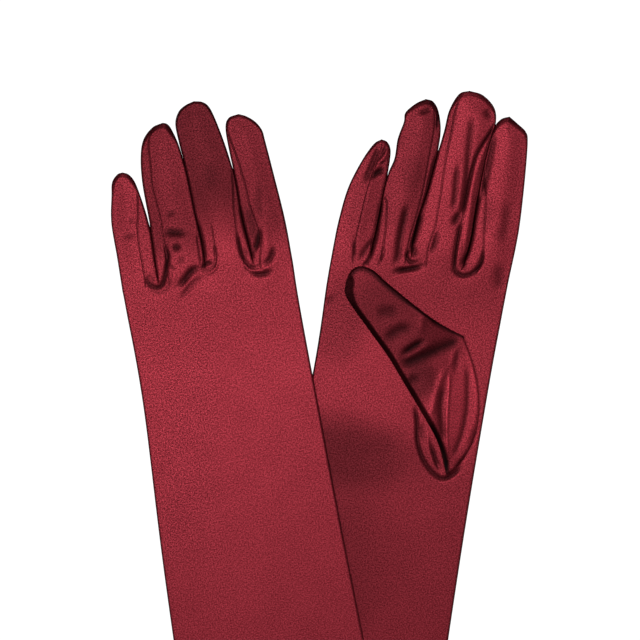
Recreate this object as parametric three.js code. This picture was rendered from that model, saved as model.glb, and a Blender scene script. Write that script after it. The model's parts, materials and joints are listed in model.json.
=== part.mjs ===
// A pair of long satin opera gloves, laid flat and crossed, left glove on top of the right.
// Units are millimetres, +Z is up and the fingers point along +Y. The origin is the centre
// of the pair's footprint, on the surface that the gloves lie on.
//
// Each glove is drawn in its own frame: x runs from the little finger to the thumb side,
// y from the cuff to the fingertips with 0 on the knuckle line, and z from the back of the
// hand to the palm. The right glove lies palm up in that frame. The left glove is the same
// glove turned over, so that its back is up and its thumb lies folded under the palm.
import * as THREE from "three";

// Cloth, as one ply of stretch satin and the space that two plies keep between them.
const cloth = 0.6;
const loft = 5.2;
const seamGap = 0.3; // clearance between two pieces that are sewn together
const fingerGap = 0.8; // clearance between two neighbouring fingers
const layGap = 0.3; // clearance between two layers that lie on each other

// Hand and sleeve, flat.
const sleeveLength = 460; // knuckle line to the top of the cuff hem
const wristDrop = 60; // knuckle line to the narrowest place
const wristWidth = 88.6;
const cuffWidth = 109;
const hemDepth = 15; // turned and stitched band at the cuff
const hemPly = 1; // the turned band is nearly two plies thick

// Fingers from the little finger to the index, each with its share of the knuckle line.
const fingers = [
  { name: "little", root: 19.4, tip: 14, length: 60, lean: 1 },
  { name: "ring", root: 22.8, tip: 19, length: 84, lean: 0 },
  { name: "middle", root: 25.2, tip: 22, length: 91, lean: 0 },
  { name: "index", root: 21.8, tip: 18.5, length: 82, lean: 0 },
];

// Set-in thumb: the oval seam in the palm, and the tapered thumb that folds across it.
const ovalHalfWidth = 15.2;
const ovalHalfLength = 36.3;
const ovalMargin = 1.6; // palm left between the oval and the thumb-side edge
const ovalDrop = 31.7; // knuckle line to the top of the oval
const gussetRim = 8; // cloth of the gusset around the way through to the thumb
const hingeOffset = 2; // the thumb folds about a line just outside the oval's middle
const thumbInset = 1.3; // top of the oval to the top of the thumb's base
const thumbBaseWidth = 59;
const thumbReach = 75; // middle of the base to the centre of the round tip
const thumbTurn = THREE.MathUtils.degToRad(138); // direction of the thumb from the x axis
const thumbTipWidth = 19;
const thumbLoft = 5;

// How the pair lies: the right sleeve beside the left thumb, the lead and each glove's turn.
const thumbClearance = 2.2; // between the foot of the left thumb and the right sleeve
const rightLead = 5.6; // how far the right knuckles lie ahead of the left ones
const leftTurn = THREE.MathUtils.degToRad(9.7);
const rightTurn = THREE.MathUtils.degToRad(-9.9);

const arcSteps = 4; // straight pieces in a quarter of a round tip
const ovalSteps = 20;
const tipSplit = 0.1; // half the angle between the two edge strips at a tip

const plyHeight = 2 * cloth + loft;
const handWidth = fingers.reduce((sum, finger) => sum + finger.root, 0);
const thumbBase = plyHeight + layGap;
const ovalCentre = new THREE.Vector2(
  wristWidth / 2 - ovalMargin - ovalHalfWidth,
  -ovalDrop - ovalHalfLength,
);
const thumbHinge = ovalCentre.x + hingeOffset;
const thumbTop = -ovalDrop - thumbInset;
const thumbFoot = thumbTop - thumbBaseWidth;
const knuckleSpread = spreadBesideThumb();

const satin = new THREE.MeshStandardMaterial({ color: 0x8c1c34, roughness: 0.42, metalness: 0.1 });
const seamSatin = new THREE.MeshStandardMaterial({ color: 0x5e1224, roughness: 0.5, metalness: 0.05 });

/** How far apart the knuckle lines' middles lie, so that the right sleeve clears the left thumb. */
function spreadBesideThumb() {
  const origin = new THREE.Vector2();
  const foot = new THREE.Vector2(thumbHinge, thumbFoot).rotateAround(origin, leftTurn);
  foot.y -= rightLead;
  foot.rotateAround(origin, -rightTurn);
  const flare = (cuffWidth - wristWidth) / 2 / (sleeveLength - wristDrop);
  const halfSleeve = wristWidth / 2 - flare * (wristDrop + foot.y);
  const shift = Math.cos(rightTurn) + flare * Math.sin(rightTurn);
  return (foot.x + halfSleeve + thumbClearance) / shift;
}

/** A named mesh of a flat outline, raised from z to z + height. */
function plate(name, shape, z, height, material = satin) {
  const settings = { depth: height, bevelEnabled: false };
  const mesh = new THREE.Mesh(new THREE.ExtrudeGeometry(shape, settings), material);
  mesh.name = name;
  mesh.position.z = z;
  return mesh;
}

/** The outline between a run of points and the same run moved sideways by the width. */
function ribbon(points, width) {
  const inner = points.map((point, i) => {
    const before = points[Math.max(i - 1, 0)];
    const after = points[Math.min(i + 1, points.length - 1)];
    const along = after.clone().sub(before).normalize();
    return new THREE.Vector2(point.x + along.y * width, point.y - along.x * width);
  });
  return new THREE.Shape([...points, ...inner.reverse()]);
}

/** Points on a circle from one angle to another, both ends included. */
function arc(centre, radius, from, to) {
  return Array.from({ length: arcSteps + 1 }, (_, i) => {
    const angle = from + ((to - from) * i) / arcSteps;
    return new THREE.Vector2(
      centre.x + radius * Math.cos(angle),
      centre.y + radius * Math.sin(angle),
    );
  });
}

/** Points around an ellipse on the oval's centre, smaller than the thumb hole by the inset. */
function oval(inset) {
  const halfWidth = ovalHalfWidth - inset;
  const halfLength = ovalHalfLength - inset;
  return Array.from({ length: ovalSteps }, (_, i) => {
    const angle = (2 * Math.PI * i) / ovalSteps;
    return new THREE.Vector2(
      ovalCentre.x + halfWidth * Math.cos(angle),
      ovalCentre.y + halfLength * Math.sin(angle),
    );
  });
}

/** One long edge of the hand and sleeve, from the cuff to the knuckles. */
function sleeveEdge(side) {
  const cuffY = -sleeveLength;
  const top = -seamGap / 2;
  return [
    new THREE.Vector2((side * cuffWidth) / 2, cuffY),
    new THREE.Vector2((side * wristWidth) / 2, -wristDrop),
    new THREE.Vector2((side * handWidth) / 2, top),
  ];
}

/** The back, the palm with its oval hole, the two side seams, the hem and the gusset. */
function handPieces(hand) {
  const left = sleeveEdge(-1);
  const right = sleeveEdge(1);
  const back = new THREE.Shape([...left, ...right.slice().reverse()]);
  const palm = back.clone();
  palm.holes.push(new THREE.Path(oval(0)));
  const gusset = new THREE.Shape(oval(seamGap));
  gusset.holes.push(new THREE.Path(oval(gussetRim)));
  const wallZ = cloth + seamGap;
  const wallHeight = loft - 2 * seamGap;
  return [
    plate(`${hand}_back_panel`, back, 0, cloth),
    plate(`${hand}_palm_panel`, palm, cloth + loft, cloth),
    plate(`${hand}_thumb_gusset`, gusset, cloth + loft, cloth),
    plate(`${hand}_little_side_seam`, ribbon(left, cloth), wallZ, wallHeight, seamSatin),
    plate(`${hand}_thumb_side_seam`, ribbon(right, -cloth), wallZ, wallHeight, seamSatin),
    hem(`${hand}_cuff_hem`),
  ];
}

/** The cuff hem, a flat ring around the mouth of the sleeve. */
function hem(name) {
  const half = cuffWidth / 2;
  const outline = rectangle(-half, 0, half, plyHeight);
  outline.holes.push(rectangle(-half + hemPly, hemPly, half - hemPly, plyHeight - hemPly));
  const band = plate(name, outline, 0, hemDepth, seamSatin);
  band.rotation.x = Math.PI / 2; // stand the ring up, so that it runs down the sleeve
  band.position.set(0, -sleeveLength - seamGap, 0);
  return band;
}

/** A rectangle between two corners. */
function rectangle(x0, y0, x1, y1) {
  return new THREE.Shape([
    new THREE.Vector2(x0, y0),
    new THREE.Vector2(x1, y0),
    new THREE.Vector2(x1, y1),
    new THREE.Vector2(x0, y1),
  ]);
}

/** The two edges of a finger, each from the root to just short of the middle of the tip. */
function fingerSides(finger, x0) {
  const half = (finger.root - fingerGap) / 2;
  const middle = x0 + finger.root / 2;
  const radius = finger.tip / 2;
  const centre = new THREE.Vector2(middle + finger.lean, finger.length - radius);
  const root = seamGap / 2;
  const quarter = Math.PI / 2;
  const little = arc(centre, radius, Math.PI, quarter + tipSplit);
  const thumb = arc(centre, radius, 0, quarter - tipSplit);
  return {
    little: [new THREE.Vector2(middle - half, root), ...little],
    thumb: [new THREE.Vector2(middle + half, root), ...thumb],
  };
}

/** A finger: its back, its palm side, and the strip down each of its edges. */
function fingerPieces(hand, finger, index, x0) {
  const { little, thumb } = fingerSides(finger, x0);
  const outline = new THREE.Shape([...little, ...thumb.slice().reverse()]);
  const wallZ = cloth + seamGap;
  const wallHeight = loft - 2 * seamGap;
  const littleName = index === 0 ? "outer_seam" : "fourchette_little_side";
  const thumbName = index === fingers.length - 1 ? "outer_seam" : "fourchette_thumb_side";
  const stem = `${hand}_${finger.name}`;
  return [
    plate(`${stem}_back`, outline, 0, cloth),
    plate(`${stem}_palm`, outline, cloth + loft, cloth),
    plate(`${stem}_${littleName}`, ribbon(little, cloth), wallZ, wallHeight, seamSatin),
    plate(`${stem}_${thumbName}`, ribbon(thumb, -cloth), wallZ, wallHeight, seamSatin),
  ];
}

/** The thumb: an under ply, an upper ply and the strips along its two edges. */
function thumbPieces(hand) {
  const baseMiddle = (thumbTop + thumbFoot) / 2;
  const radius = thumbTipWidth / 2;
  const tip = new THREE.Vector2(
    thumbHinge + thumbReach * Math.cos(thumbTurn),
    baseMiddle + thumbReach * Math.sin(thumbTurn),
  );
  const quarter = Math.PI / 2;
  const edgeX = thumbHinge - seamGap;
  const upper = [
    new THREE.Vector2(edgeX, thumbTop),
    ...arc(tip, radius, thumbTurn - quarter, thumbTurn - tipSplit),
  ];
  const lower = [
    new THREE.Vector2(edgeX, thumbFoot),
    ...arc(tip, radius, thumbTurn + quarter, thumbTurn + tipSplit),
  ];
  const outline = new THREE.Shape([...upper, ...lower.slice().reverse()]);
  const wallZ = thumbBase + cloth + seamGap;
  const wallHeight = thumbLoft - 2 * seamGap;
  return [
    plate(`${hand}_thumb_under_ply`, outline, thumbBase, cloth),
    plate(`${hand}_thumb_upper_ply`, outline, thumbBase + cloth + thumbLoft, cloth),
    plate(`${hand}_thumb_seam`, ribbon(upper, -cloth), wallZ, wallHeight, seamSatin),
    plate(`${hand}_thumb_fold`, ribbon(lower, cloth), wallZ, wallHeight, seamSatin),
  ];
}

/** A whole glove in its own frame, palm up. */
function glove(hand) {
  const group = new THREE.Group();
  group.add(...handPieces(hand), ...thumbPieces(hand));
  let x0 = -handWidth / 2;
  fingers.forEach((finger, index) => {
    group.add(...fingerPieces(hand, finger, index, x0));
    x0 += finger.root;
  });
  return group;
}

const right = glove("right");
right.position.set(knuckleSpread / 2, rightLead / 2, 0);
right.rotation.z = rightTurn;

// Turned over, the left glove rests on its own folded thumb and on the right sleeve.
const left = glove("left");
left.position.set(-knuckleSpread / 2, -rightLead / 2, 2 * plyHeight + layGap);
left.rotation.z = leftTurn;
left.scale.z = -1;

const pair = new THREE.Group();
pair.add(right, left);
const centre = new THREE.Box3().setFromObject(pair, true).getCenter(new THREE.Vector3());
pair.position.set(-centre.x, -centre.y, 0);

export default pair;
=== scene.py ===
"""A pair of opera gloves in burgundy stretch satin, laid flat, with the left sleeve over the right one.

Every length in this file is in millimetres, unless a name says otherwise. A glove is drawn in its own
flat coordinates: u runs from the little finger's side to the thumb's side, v from the cuff to the
fingertips with 0 on the knuckle line, and z is the height over the table.
"""

from __future__ import annotations

import json
import logging
import math
from dataclasses import dataclass, field
from enum import Enum

import bpy
import numpy as np
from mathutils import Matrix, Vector

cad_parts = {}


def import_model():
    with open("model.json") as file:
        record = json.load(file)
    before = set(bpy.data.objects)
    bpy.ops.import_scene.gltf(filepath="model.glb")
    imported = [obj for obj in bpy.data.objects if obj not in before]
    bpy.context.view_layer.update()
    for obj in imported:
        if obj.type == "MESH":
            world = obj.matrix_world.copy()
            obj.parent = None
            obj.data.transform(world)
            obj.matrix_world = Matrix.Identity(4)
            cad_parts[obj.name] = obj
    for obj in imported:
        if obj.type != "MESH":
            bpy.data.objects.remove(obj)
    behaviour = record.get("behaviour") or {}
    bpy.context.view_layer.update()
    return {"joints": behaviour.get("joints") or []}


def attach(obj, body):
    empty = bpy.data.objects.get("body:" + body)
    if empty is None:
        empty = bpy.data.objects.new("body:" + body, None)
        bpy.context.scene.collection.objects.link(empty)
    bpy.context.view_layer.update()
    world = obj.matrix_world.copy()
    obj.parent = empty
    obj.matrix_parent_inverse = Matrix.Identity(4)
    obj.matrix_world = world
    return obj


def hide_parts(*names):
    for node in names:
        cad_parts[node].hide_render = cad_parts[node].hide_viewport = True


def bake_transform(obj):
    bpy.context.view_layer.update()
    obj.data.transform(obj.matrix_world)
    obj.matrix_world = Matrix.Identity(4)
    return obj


LOG = logging.getLogger("opera_gloves")
MM = 0.001
FAR = 1e9
TINY = 1e-6
Point = tuple[float, float]
Line = tuple[Point, ...]


def smooth(low: float, high: float, x: np.ndarray | float) -> np.ndarray:
    """A soft step.

    Args:
        low: where the step leaves 0.
        high: where it reaches 1; it may be the smaller number.
        x: the places asked for.

    Returns:
        0 before low, 1 past high, and a smooth rise between.
    """
    t = np.clip((np.asarray(x, float) - low) / (high - low), 0.0, 1.0)
    return t * t * (3.0 - 2.0 * t)


def curve_through(points: Line, count: int) -> np.ndarray:
    """A smooth line through a few points, at even steps of its length.

    Args:
        points: the points, as (u, v).
        count: how many samples to give.

    Returns:
        An array of count rows of (u, v).
    """
    p = np.array(points, float)
    ghost = np.vstack([2 * p[0] - p[1], p, 2 * p[-1] - p[-2]])
    t = np.linspace(0, 1, 17)[:-1, None]
    pieces = []
    for a, b, c, d in zip(ghost[:-3], ghost[1:-2], ghost[2:-1], ghost[3:]):
        pieces.append(
            0.5 * (2 * b + (c - a) * t + (2 * a - 5 * b + 4 * c - d) * t**2
                   + (3 * b - a - 3 * c + d) * t**3)
        )
    fine = np.vstack([*pieces, p[-1:]])
    run = np.concatenate([[0], np.cumsum(np.linalg.norm(np.diff(fine, axis=0), axis=1))])
    at = np.linspace(0, run[-1], count)
    return np.column_stack([np.interp(at, run, fine[:, 0]), np.interp(at, run, fine[:, 1])])


def nearest_on(line: np.ndarray, u: np.ndarray, v: np.ndarray) -> tuple[np.ndarray, np.ndarray]:
    """The distance from places on the cloth to a line drawn on it.

    Args:
        line: the line's samples, as rows of (u, v).
        u: the places' u.
        v: the places' v.

    Returns:
        The distance, and how far along the line its nearest point lies.
    """
    best = np.full(u.shape, FAR)
    along = np.zeros(u.shape)
    start = 0.0
    for (au, av), (bu, bv) in zip(line[:-1], line[1:]):
        du, dv = bu - au, bv - av
        length = math.hypot(du, dv) or 1e-9
        t = np.clip(((u - au) * du + (v - av) * dv) / length**2, 0, 1)
        d = np.hypot(u - au - t * du, v - av - t * dv)
        closer = d < best
        best = np.where(closer, d, best)
        along = np.where(closer, start + t * length, along)
        start += length
    return best, along


def rounded(distance: np.ndarray, radius: np.ndarray | float,
            power: np.ndarray | float = 2.3) -> np.ndarray:
    """How far a folded edge has risen.

    Args:
        distance: the distance from the edge.
        radius: where the fold has reached its full height.
        power: how full the fold is: 2 is a round edge, and nearer 1 is a bevel.

    Returns:
        0 at the edge and 1 from the radius inwards.
    """
    x = np.clip(distance / radius, 0.0, 1.0)
    return (1.0 - (1.0 - x) ** power) ** (1 / power)


class Profile(Enum):
    """A kind of crease, with the height and the painted shade or highlight that it has at full strength.
    """

    # Each holds a height and a painted shade (below 0) or painted highlight (above 0) for the base colour.
    RIDGE = (0.35, 0.34)
    VALLEY = (-0.45, -0.66)
    SEWN = (-0.22, -0.38)

    @property
    def height(self) -> float:
        """How far it stands up, in millimetres."""
        return self.value[0]

    @property
    def shine(self) -> float:
        """How much painted highlight it adds to the base colour; below 0, how much painted shade."""
        return self.value[1]


@dataclass(frozen=True)
class Crease:
    """A fold, wrinkle or seam drawn on the cloth.

    Attributes:
        path: a few points that it runs through.
        width: its half width.
        strength: how strongly it shows.
        profile: what kind it is.
        run_out: the length over which each of its ends fades.
        darkest_painted_share: the share of the base colour that the painted shade leaves in the deepest
            fold.
        reach: how many half widths away it has faded.
        fold_run_out: the share of a fold's length over which each of its ends fades.
        longest_run_out: the longest that a fold's fading end may be.
    """

    path: Line
    width: float
    strength: float
    profile: Profile
    run_out: float = 2.5
    darkest_painted_share: float = 0.1
    reach: float = 2.6
    fold_run_out: float = 0.38
    longest_run_out: float = 6.0

    def lift(self, u: np.ndarray, v: np.ndarray) -> np.ndarray:
        """The height that the crease adds at each place."""
        return self.profile.height * self.strength * self.presence(u, v)

    def shade(self, u: np.ndarray, v: np.ndarray) -> np.ndarray:
        """The share of the base colour that the crease leaves at each place: painted shade in valleys and
        seams, painted highlight on ridges.
        """
        added = self.profile.shine * self.strength * self.presence(u, v)
        return np.maximum(1 + added, self.darkest_painted_share)

    def presence(self, u: np.ndarray, v: np.ndarray) -> np.ndarray:
        """How much of the crease there is.

        Args:
            u: the places' u.
            v: the places' v.

        Returns:
            1 on its line, and 0 away from it.
        """
        line = curve_through(self.path, 4 * len(self.path))
        reach = self.reach * self.width
        low, high = line.min(0) - reach, line.max(0) + reach
        near = (u > low[0]) & (u < high[0]) & (v > low[1]) & (v < high[1])
        out = np.zeros(u.shape)
        if not near.any():
            return out
        d, along = nearest_on(line, u[near], v[near])
        total = float(np.linalg.norm(np.diff(line, axis=0), axis=1).sum())
        run = self.run_out
        if self.profile is not Profile.SEWN:
            run = min(max(run, self.fold_run_out * total), self.longest_run_out)
        ends = smooth(-0.2 * run, run, along) * smooth(-0.2 * run, run, total - along)
        out[near] = np.exp(-((d / self.width) ** 2)) * ends
        return out


def relief_of(creases: tuple[Crease, ...], u: np.ndarray, v: np.ndarray) -> np.ndarray:
    """The height that several creases add together.

    Args:
        creases: the creases.
        u: the places' u.
        v: the places' v.

    Returns:
        The height at each place.
    """
    relief = np.zeros(np.shape(u))
    for crease in creases:
        relief = relief + crease.lift(u, v)
    return relief


def seam(*path: Point) -> Crease:
    """A sewn line: a narrow groove through the given points."""
    return Crease(path, 0.6, 1.0, Profile.SEWN, 1.0)


def fold(width: float, strength: float, *path: Point) -> Crease:
    """A soft fold of a half width through the given points: a valley where its strength is negative."""
    return Crease(path, width, abs(strength), Profile.RIDGE if strength > 0 else Profile.VALLEY)


@dataclass(frozen=True)
class Tone:
    """A soft patch of painted shade, or of painted highlight where its value is over 1, in the base
    colour.

    Attributes:
        centre: its middle, as (u, v).
        reach: how far it goes across and along, to where it has faded.
        value: the share of the base colour in its middle: below 1 painted shade, above 1 painted
            highlight.
    """

    centre: Point
    reach: Point
    value: float

    def share(self, u: np.ndarray, v: np.ndarray) -> np.ndarray:
        """The share of the base colour at each place, with the painted shade or highlight."""
        r = np.hypot((u - self.centre[0]) / self.reach[0], (v - self.centre[1]) / self.reach[1])
        return 1 - (1 - self.value) * smooth(1.0, 0.35, r)


@dataclass(frozen=True)
class Place:
    """Where a glove lies on the table.

    Attributes:
        origin: the middle of its knuckle line, in the frame.
        turn: how far it is turned to the left, in radians.
    """

    origin: Point
    turn: float

    @classmethod
    def from_hinge(cls, joint: dict, hinge_u: float) -> Place:
        """Reads the place from the hinge of a finger.

        Args:
            joint: the hinge in the record, which lies along the knuckle line.
            hinge_u: the hinge's place along that line.

        Returns:
            The glove's place.
        """
        across = joint["axis"]
        x, y = joint["pos_m"][0] / MM, joint["pos_m"][1] / MM
        return cls((x - hinge_u * across[0], y - hinge_u * across[1]), math.atan2(across[1], across[0]))

    def frame(self, u: np.ndarray, v: np.ndarray) -> tuple[np.ndarray, np.ndarray]:
        """Turns glove coordinates into the frame's x and y."""
        c, s = math.cos(self.turn), math.sin(self.turn)
        return self.origin[0] + u * c - v * s, self.origin[1] + u * s + v * c

    def flat(self, x: np.ndarray, y: np.ndarray) -> tuple[np.ndarray, np.ndarray]:
        """Turns the frame's x and y into glove coordinates.

        Args:
            x: the places' x.
            y: the places' y.

        Returns:
            Their u and v.
        """
        c, s = math.cos(self.turn), math.sin(self.turn)
        dx, dy = x - self.origin[0], y - self.origin[1]
        return dx * c + dy * s, dy * c - dx * s

    def point(self, u: float, v: float, z: float) -> tuple[float, float, float]:
        """One place of the glove as a point of the frame, in metres."""
        x, y = self.frame(np.float64(u), np.float64(v))
        return float(x) * MM, float(y) * MM, z * MM


@dataclass(frozen=True)
class Seamline:
    """Where a finger's side strip is sewn on.

    Attributes:
        insets: how far in from the edge it runs, as (v, inset) from root to tip.
        shown: between which v its groove shows.
    """

    insets: Line
    shown: Point = (-100, 200)

    def at(self, v: np.ndarray) -> np.ndarray:
        """How far in from the edge the seam runs.

        Args:
            v: the places' v.

        Returns:
            The inset at each.
        """
        line = curve_through(self.insets, 60)
        order = np.argsort(line[:, 0])
        return np.interp(v, line[order, 0], line[order, 1])

    def strength(self, v: np.ndarray | float) -> np.ndarray:
        """How far its groove shows at the given v."""
        low, high = self.shown
        return smooth(low - 4, low, v) * smooth(high + 4, high, v)


@dataclass(frozen=True)
class Finger:
    """One finger of a glove.

    Attributes:
        name: little, ring, middle or index.
        left: its outline from the root to the tip on the little finger's side.
        right: its outline from the root to the tip on the thumb's side.
        seam_left: where its left side strip ends on the upper side.
        seam_right: where its right side strip ends on the upper side.
        tip_roll: how softly its tip turns over.
        tip_fullness: how full the fold at its tip is, from 1 for a bevel to 2 for a round one.
        outer_left: whether its left side is the outside of the hand.
        outer_right: whether its right side is the outside of the hand.
        tone: the share of the base colour that it keeps: painted shade over the whole finger.
        tone_from: between which v the finger's own tone sets in.
        touch: the v up to which it touches the next finger.
        fork: the v at which it parts from the next finger.
    """

    name: str
    left: Line
    right: Line
    seam_left: Seamline
    seam_right: Seamline
    tip_roll: float = 2.4
    tip_fullness: float = 1.35
    outer_left: bool = False
    outer_right: bool = False
    tone: float = 1.0
    tone_from: Point = (0, 24)
    touch: float = 0.0
    fork: float = 2.0

    @property
    def tip(self) -> Point:
        """The end of the finger."""
        return self.left[-1]


@dataclass(frozen=True)
class Columns:
    """How many columns of quads the upper and the under side of a finger have.

    Attributes:
        strip: in a side strip, on the upper side.
        face: between the two strips, on the upper side.
        under_strip: in a side strip, on the under side.
        under_face: between the strips, on the under side.
    """

    strip: int = 9
    face: int = 26
    under_strip: int = 4
    under_face: int = 8

    def of(self, under: bool) -> tuple[int, int]:
        """The columns of a strip and of the face between, on the upper or the under side."""
        return (self.under_strip, self.under_face) if under else (self.strip, self.face)

    def across_hand(self, under: bool) -> int:
        """The columns of all four fingers together, which the hand and the hem carry on."""
        strip, face = self.of(under)
        return 4 * (2 * strip + face)

    @staticmethod
    def spread(count: int, crowd: float = 0.6) -> np.ndarray:
        """Places from 0 to 1 that lie closer together at both ends."""
        k = np.linspace(0, 1, count + 1)
        return crowd * (1 - np.cos(math.pi * k)) / 2 + (1 - crowd) * k


@dataclass
class Cloth:
    """A glove's welded surface while it is made.

    Attributes:
        patches: each patch's points as rows, columns and (u, v, z, lay), with the labels of its quads; lay
            holds the painted shade and highlight.
    """

    patches: list[tuple[np.ndarray, np.ndarray]] = field(default_factory=list)

    def add(self, u: np.ndarray, v: np.ndarray, z: np.ndarray, lay: np.ndarray, labels: np.ndarray,
            flip: bool) -> None:
        """Adds one patch.

        Args:
            u: its points' u, rows by columns.
            v: their v.
            z: their height.
            lay: the share of the base colour that each point keeps, which paints shade and highlight onto
                it.
            labels: the piece that each quad belongs to.
            flip: whether the patch faces down.
        """
        points = np.stack([u, v, z, lay], axis=-1)
        if flip:
            points, labels = points[:, ::-1], labels[:, ::-1]
        self.patches.append((points, labels))

    def weld(self) -> tuple[np.ndarray, np.ndarray, np.ndarray]:
        """Joins the patches where their points meet.

        Returns:
            The points, the quads as rows of four point numbers, and the quads' labels.
        """
        points, quads, labels, first = [], [], [], 0
        for grid, names in self.patches:
            rows, columns = grid.shape[:2]
            index = first + np.arange(rows * columns).reshape(rows, columns)
            corners = (index[:-1, :-1], index[:-1, 1:], index[1:, 1:], index[1:, :-1])
            quads.append(np.stack(corners, -1).reshape(-1, 4))
            labels.append(names.reshape(-1))
            points.append(grid.reshape(-1, 4))
            first += rows * columns
        every = np.vstack(points)
        places = np.round(every[:, :3], 3)
        _, keep, back = np.unique(places, axis=0, return_index=True, return_inverse=True)
        return every[keep], back.reshape(-1)[np.vstack(quads)], np.concatenate(labels)


class Piece:
    """Turns labelled quads into Blender objects."""

    @staticmethod
    def corner_normals(points: np.ndarray, quads: np.ndarray) -> np.ndarray:
        """Smooth normals of a welded surface.

        Args:
            points: its points.
            quads: its quads.

        Returns:
            One unit normal for each point.
        """
        diagonal_a = points[quads[:, 2]] - points[quads[:, 0]]
        diagonal_b = points[quads[:, 3]] - points[quads[:, 1]]
        face = np.cross(diagonal_a, diagonal_b)
        normals = np.zeros_like(points)
        for corner in range(4):
            np.add.at(normals, quads[:, corner], face)
        length = np.linalg.norm(normals, axis=1, keepdims=True)
        return normals / np.maximum(length, 1e-12)

    @staticmethod
    def make(name: str, points: np.ndarray, normals: np.ndarray, flat: np.ndarray, lay: np.ndarray,
             quads: np.ndarray, material: bpy.types.Material) -> bpy.types.Object:
        """Makes one object from some of a surface's quads.

        Args:
            name: the object's name.
            points: the whole surface's points in the frame, in metres.
            normals: the whole surface's normals.
            flat: the same points on the flat cloth, in millimetres.
            lay: the share of the base colour that each point keeps, which paints shade and highlight onto
                it.
            quads: this piece's quads.
            material: its finish.

        Returns:
            The new object.
        """
        used, local = np.unique(quads, return_inverse=True)
        faces = []
        for row in local.reshape(-1, 4):
            corners = list(dict.fromkeys(row.tolist()))
            if len(corners) > 2:
                faces.append(corners)
        mesh = bpy.data.meshes.new(name)
        mesh.from_pydata(points[used].tolist(), [], faces)
        mesh.polygons.foreach_set("use_smooth", [True] * len(mesh.polygons))
        cloth = mesh.attributes.new("cloth", "FLOAT_VECTOR", "POINT")
        cloth.data.foreach_set("vector", flat[used].astype(np.float32).ravel())
        # The lay attribute holds painted shade and highlight, which the materials multiply into the base
        # colour.
        shine = mesh.attributes.new("lay", "FLOAT", "POINT")
        shine.data.foreach_set("value", lay[used].astype(np.float32))
        mesh.normals_split_custom_set_from_vertices(normals[used].tolist())
        mesh.update()
        made = bpy.data.objects.new(name, mesh)
        bpy.context.scene.collection.objects.link(made)
        made.data.materials.append(material)
        return made

    @staticmethod
    def area(obj: bpy.types.Object) -> float:
        """The object's surface, in square metres."""
        return float(sum(p.area for p in obj.data.polygons))


class Board:
    """The nodes of a material or a group, while they are wired."""

    def __init__(self, tree: bpy.types.NodeTree) -> None:
        """Keeps the tree."""
        self.nodes, self.links = tree.nodes, tree.links

    @classmethod
    def group(cls, name: str, inputs: dict[str, str],
              outputs: tuple[str, ...]) -> tuple[Board, bpy.types.NodeTree]:
        """Starts a node group whose outputs are numbers.

        Args:
            name: the group's name.
            inputs: the kind of each of its inputs, Vector or Float.
            outputs: the names of its outputs.

        Returns:
            The group's board, and the group.
        """
        tree = bpy.data.node_groups.new(name, "ShaderNodeTree")
        for socket, kind in inputs.items():
            tree.interface.new_socket(socket, in_out="INPUT", socket_type=f"NodeSocket{kind}")
        for socket in outputs:
            tree.interface.new_socket(socket, in_out="OUTPUT", socket_type="NodeSocketFloat")
        return cls(tree), tree

    def put(self, kind: str, values: dict[str | int, object], wires: dict[str | int, bpy.types.NodeSocket],
            **settings: object) -> bpy.types.Node:
        """Adds one node.

        Args:
            kind: its type, without ShaderNode.
            values: the values of its unlinked sockets.
            wires: what its linked sockets are fed from.
            **settings: its other settings.

        Returns:
            The node.
        """
        node = self.nodes.new(f"ShaderNode{kind}")
        for setting, value in settings.items():
            setattr(node, setting, value)
        for socket, value in values.items():
            node.inputs[socket].default_value = value
        for socket, source in wires.items():
            self.links.new(source, node.inputs[socket])
        return node

    def math(self, operation: str, *parts: float | bpy.types.NodeSocket,
             clamp: bool = False) -> bpy.types.NodeSocket:
        """Adds a Math node.

        Args:
            operation: what it works out.
            *parts: the numbers and sockets that it takes.
            clamp: whether its output stays between 0 and 1.

        Returns:
            Its output.
        """
        values = {k: part for k, part in enumerate(parts) if isinstance(part, float)}
        wires = {k: part for k, part in enumerate(parts) if not isinstance(part, float)}
        return self.put("Math", values, wires, operation=operation, use_clamp=clamp).outputs[0]


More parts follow.
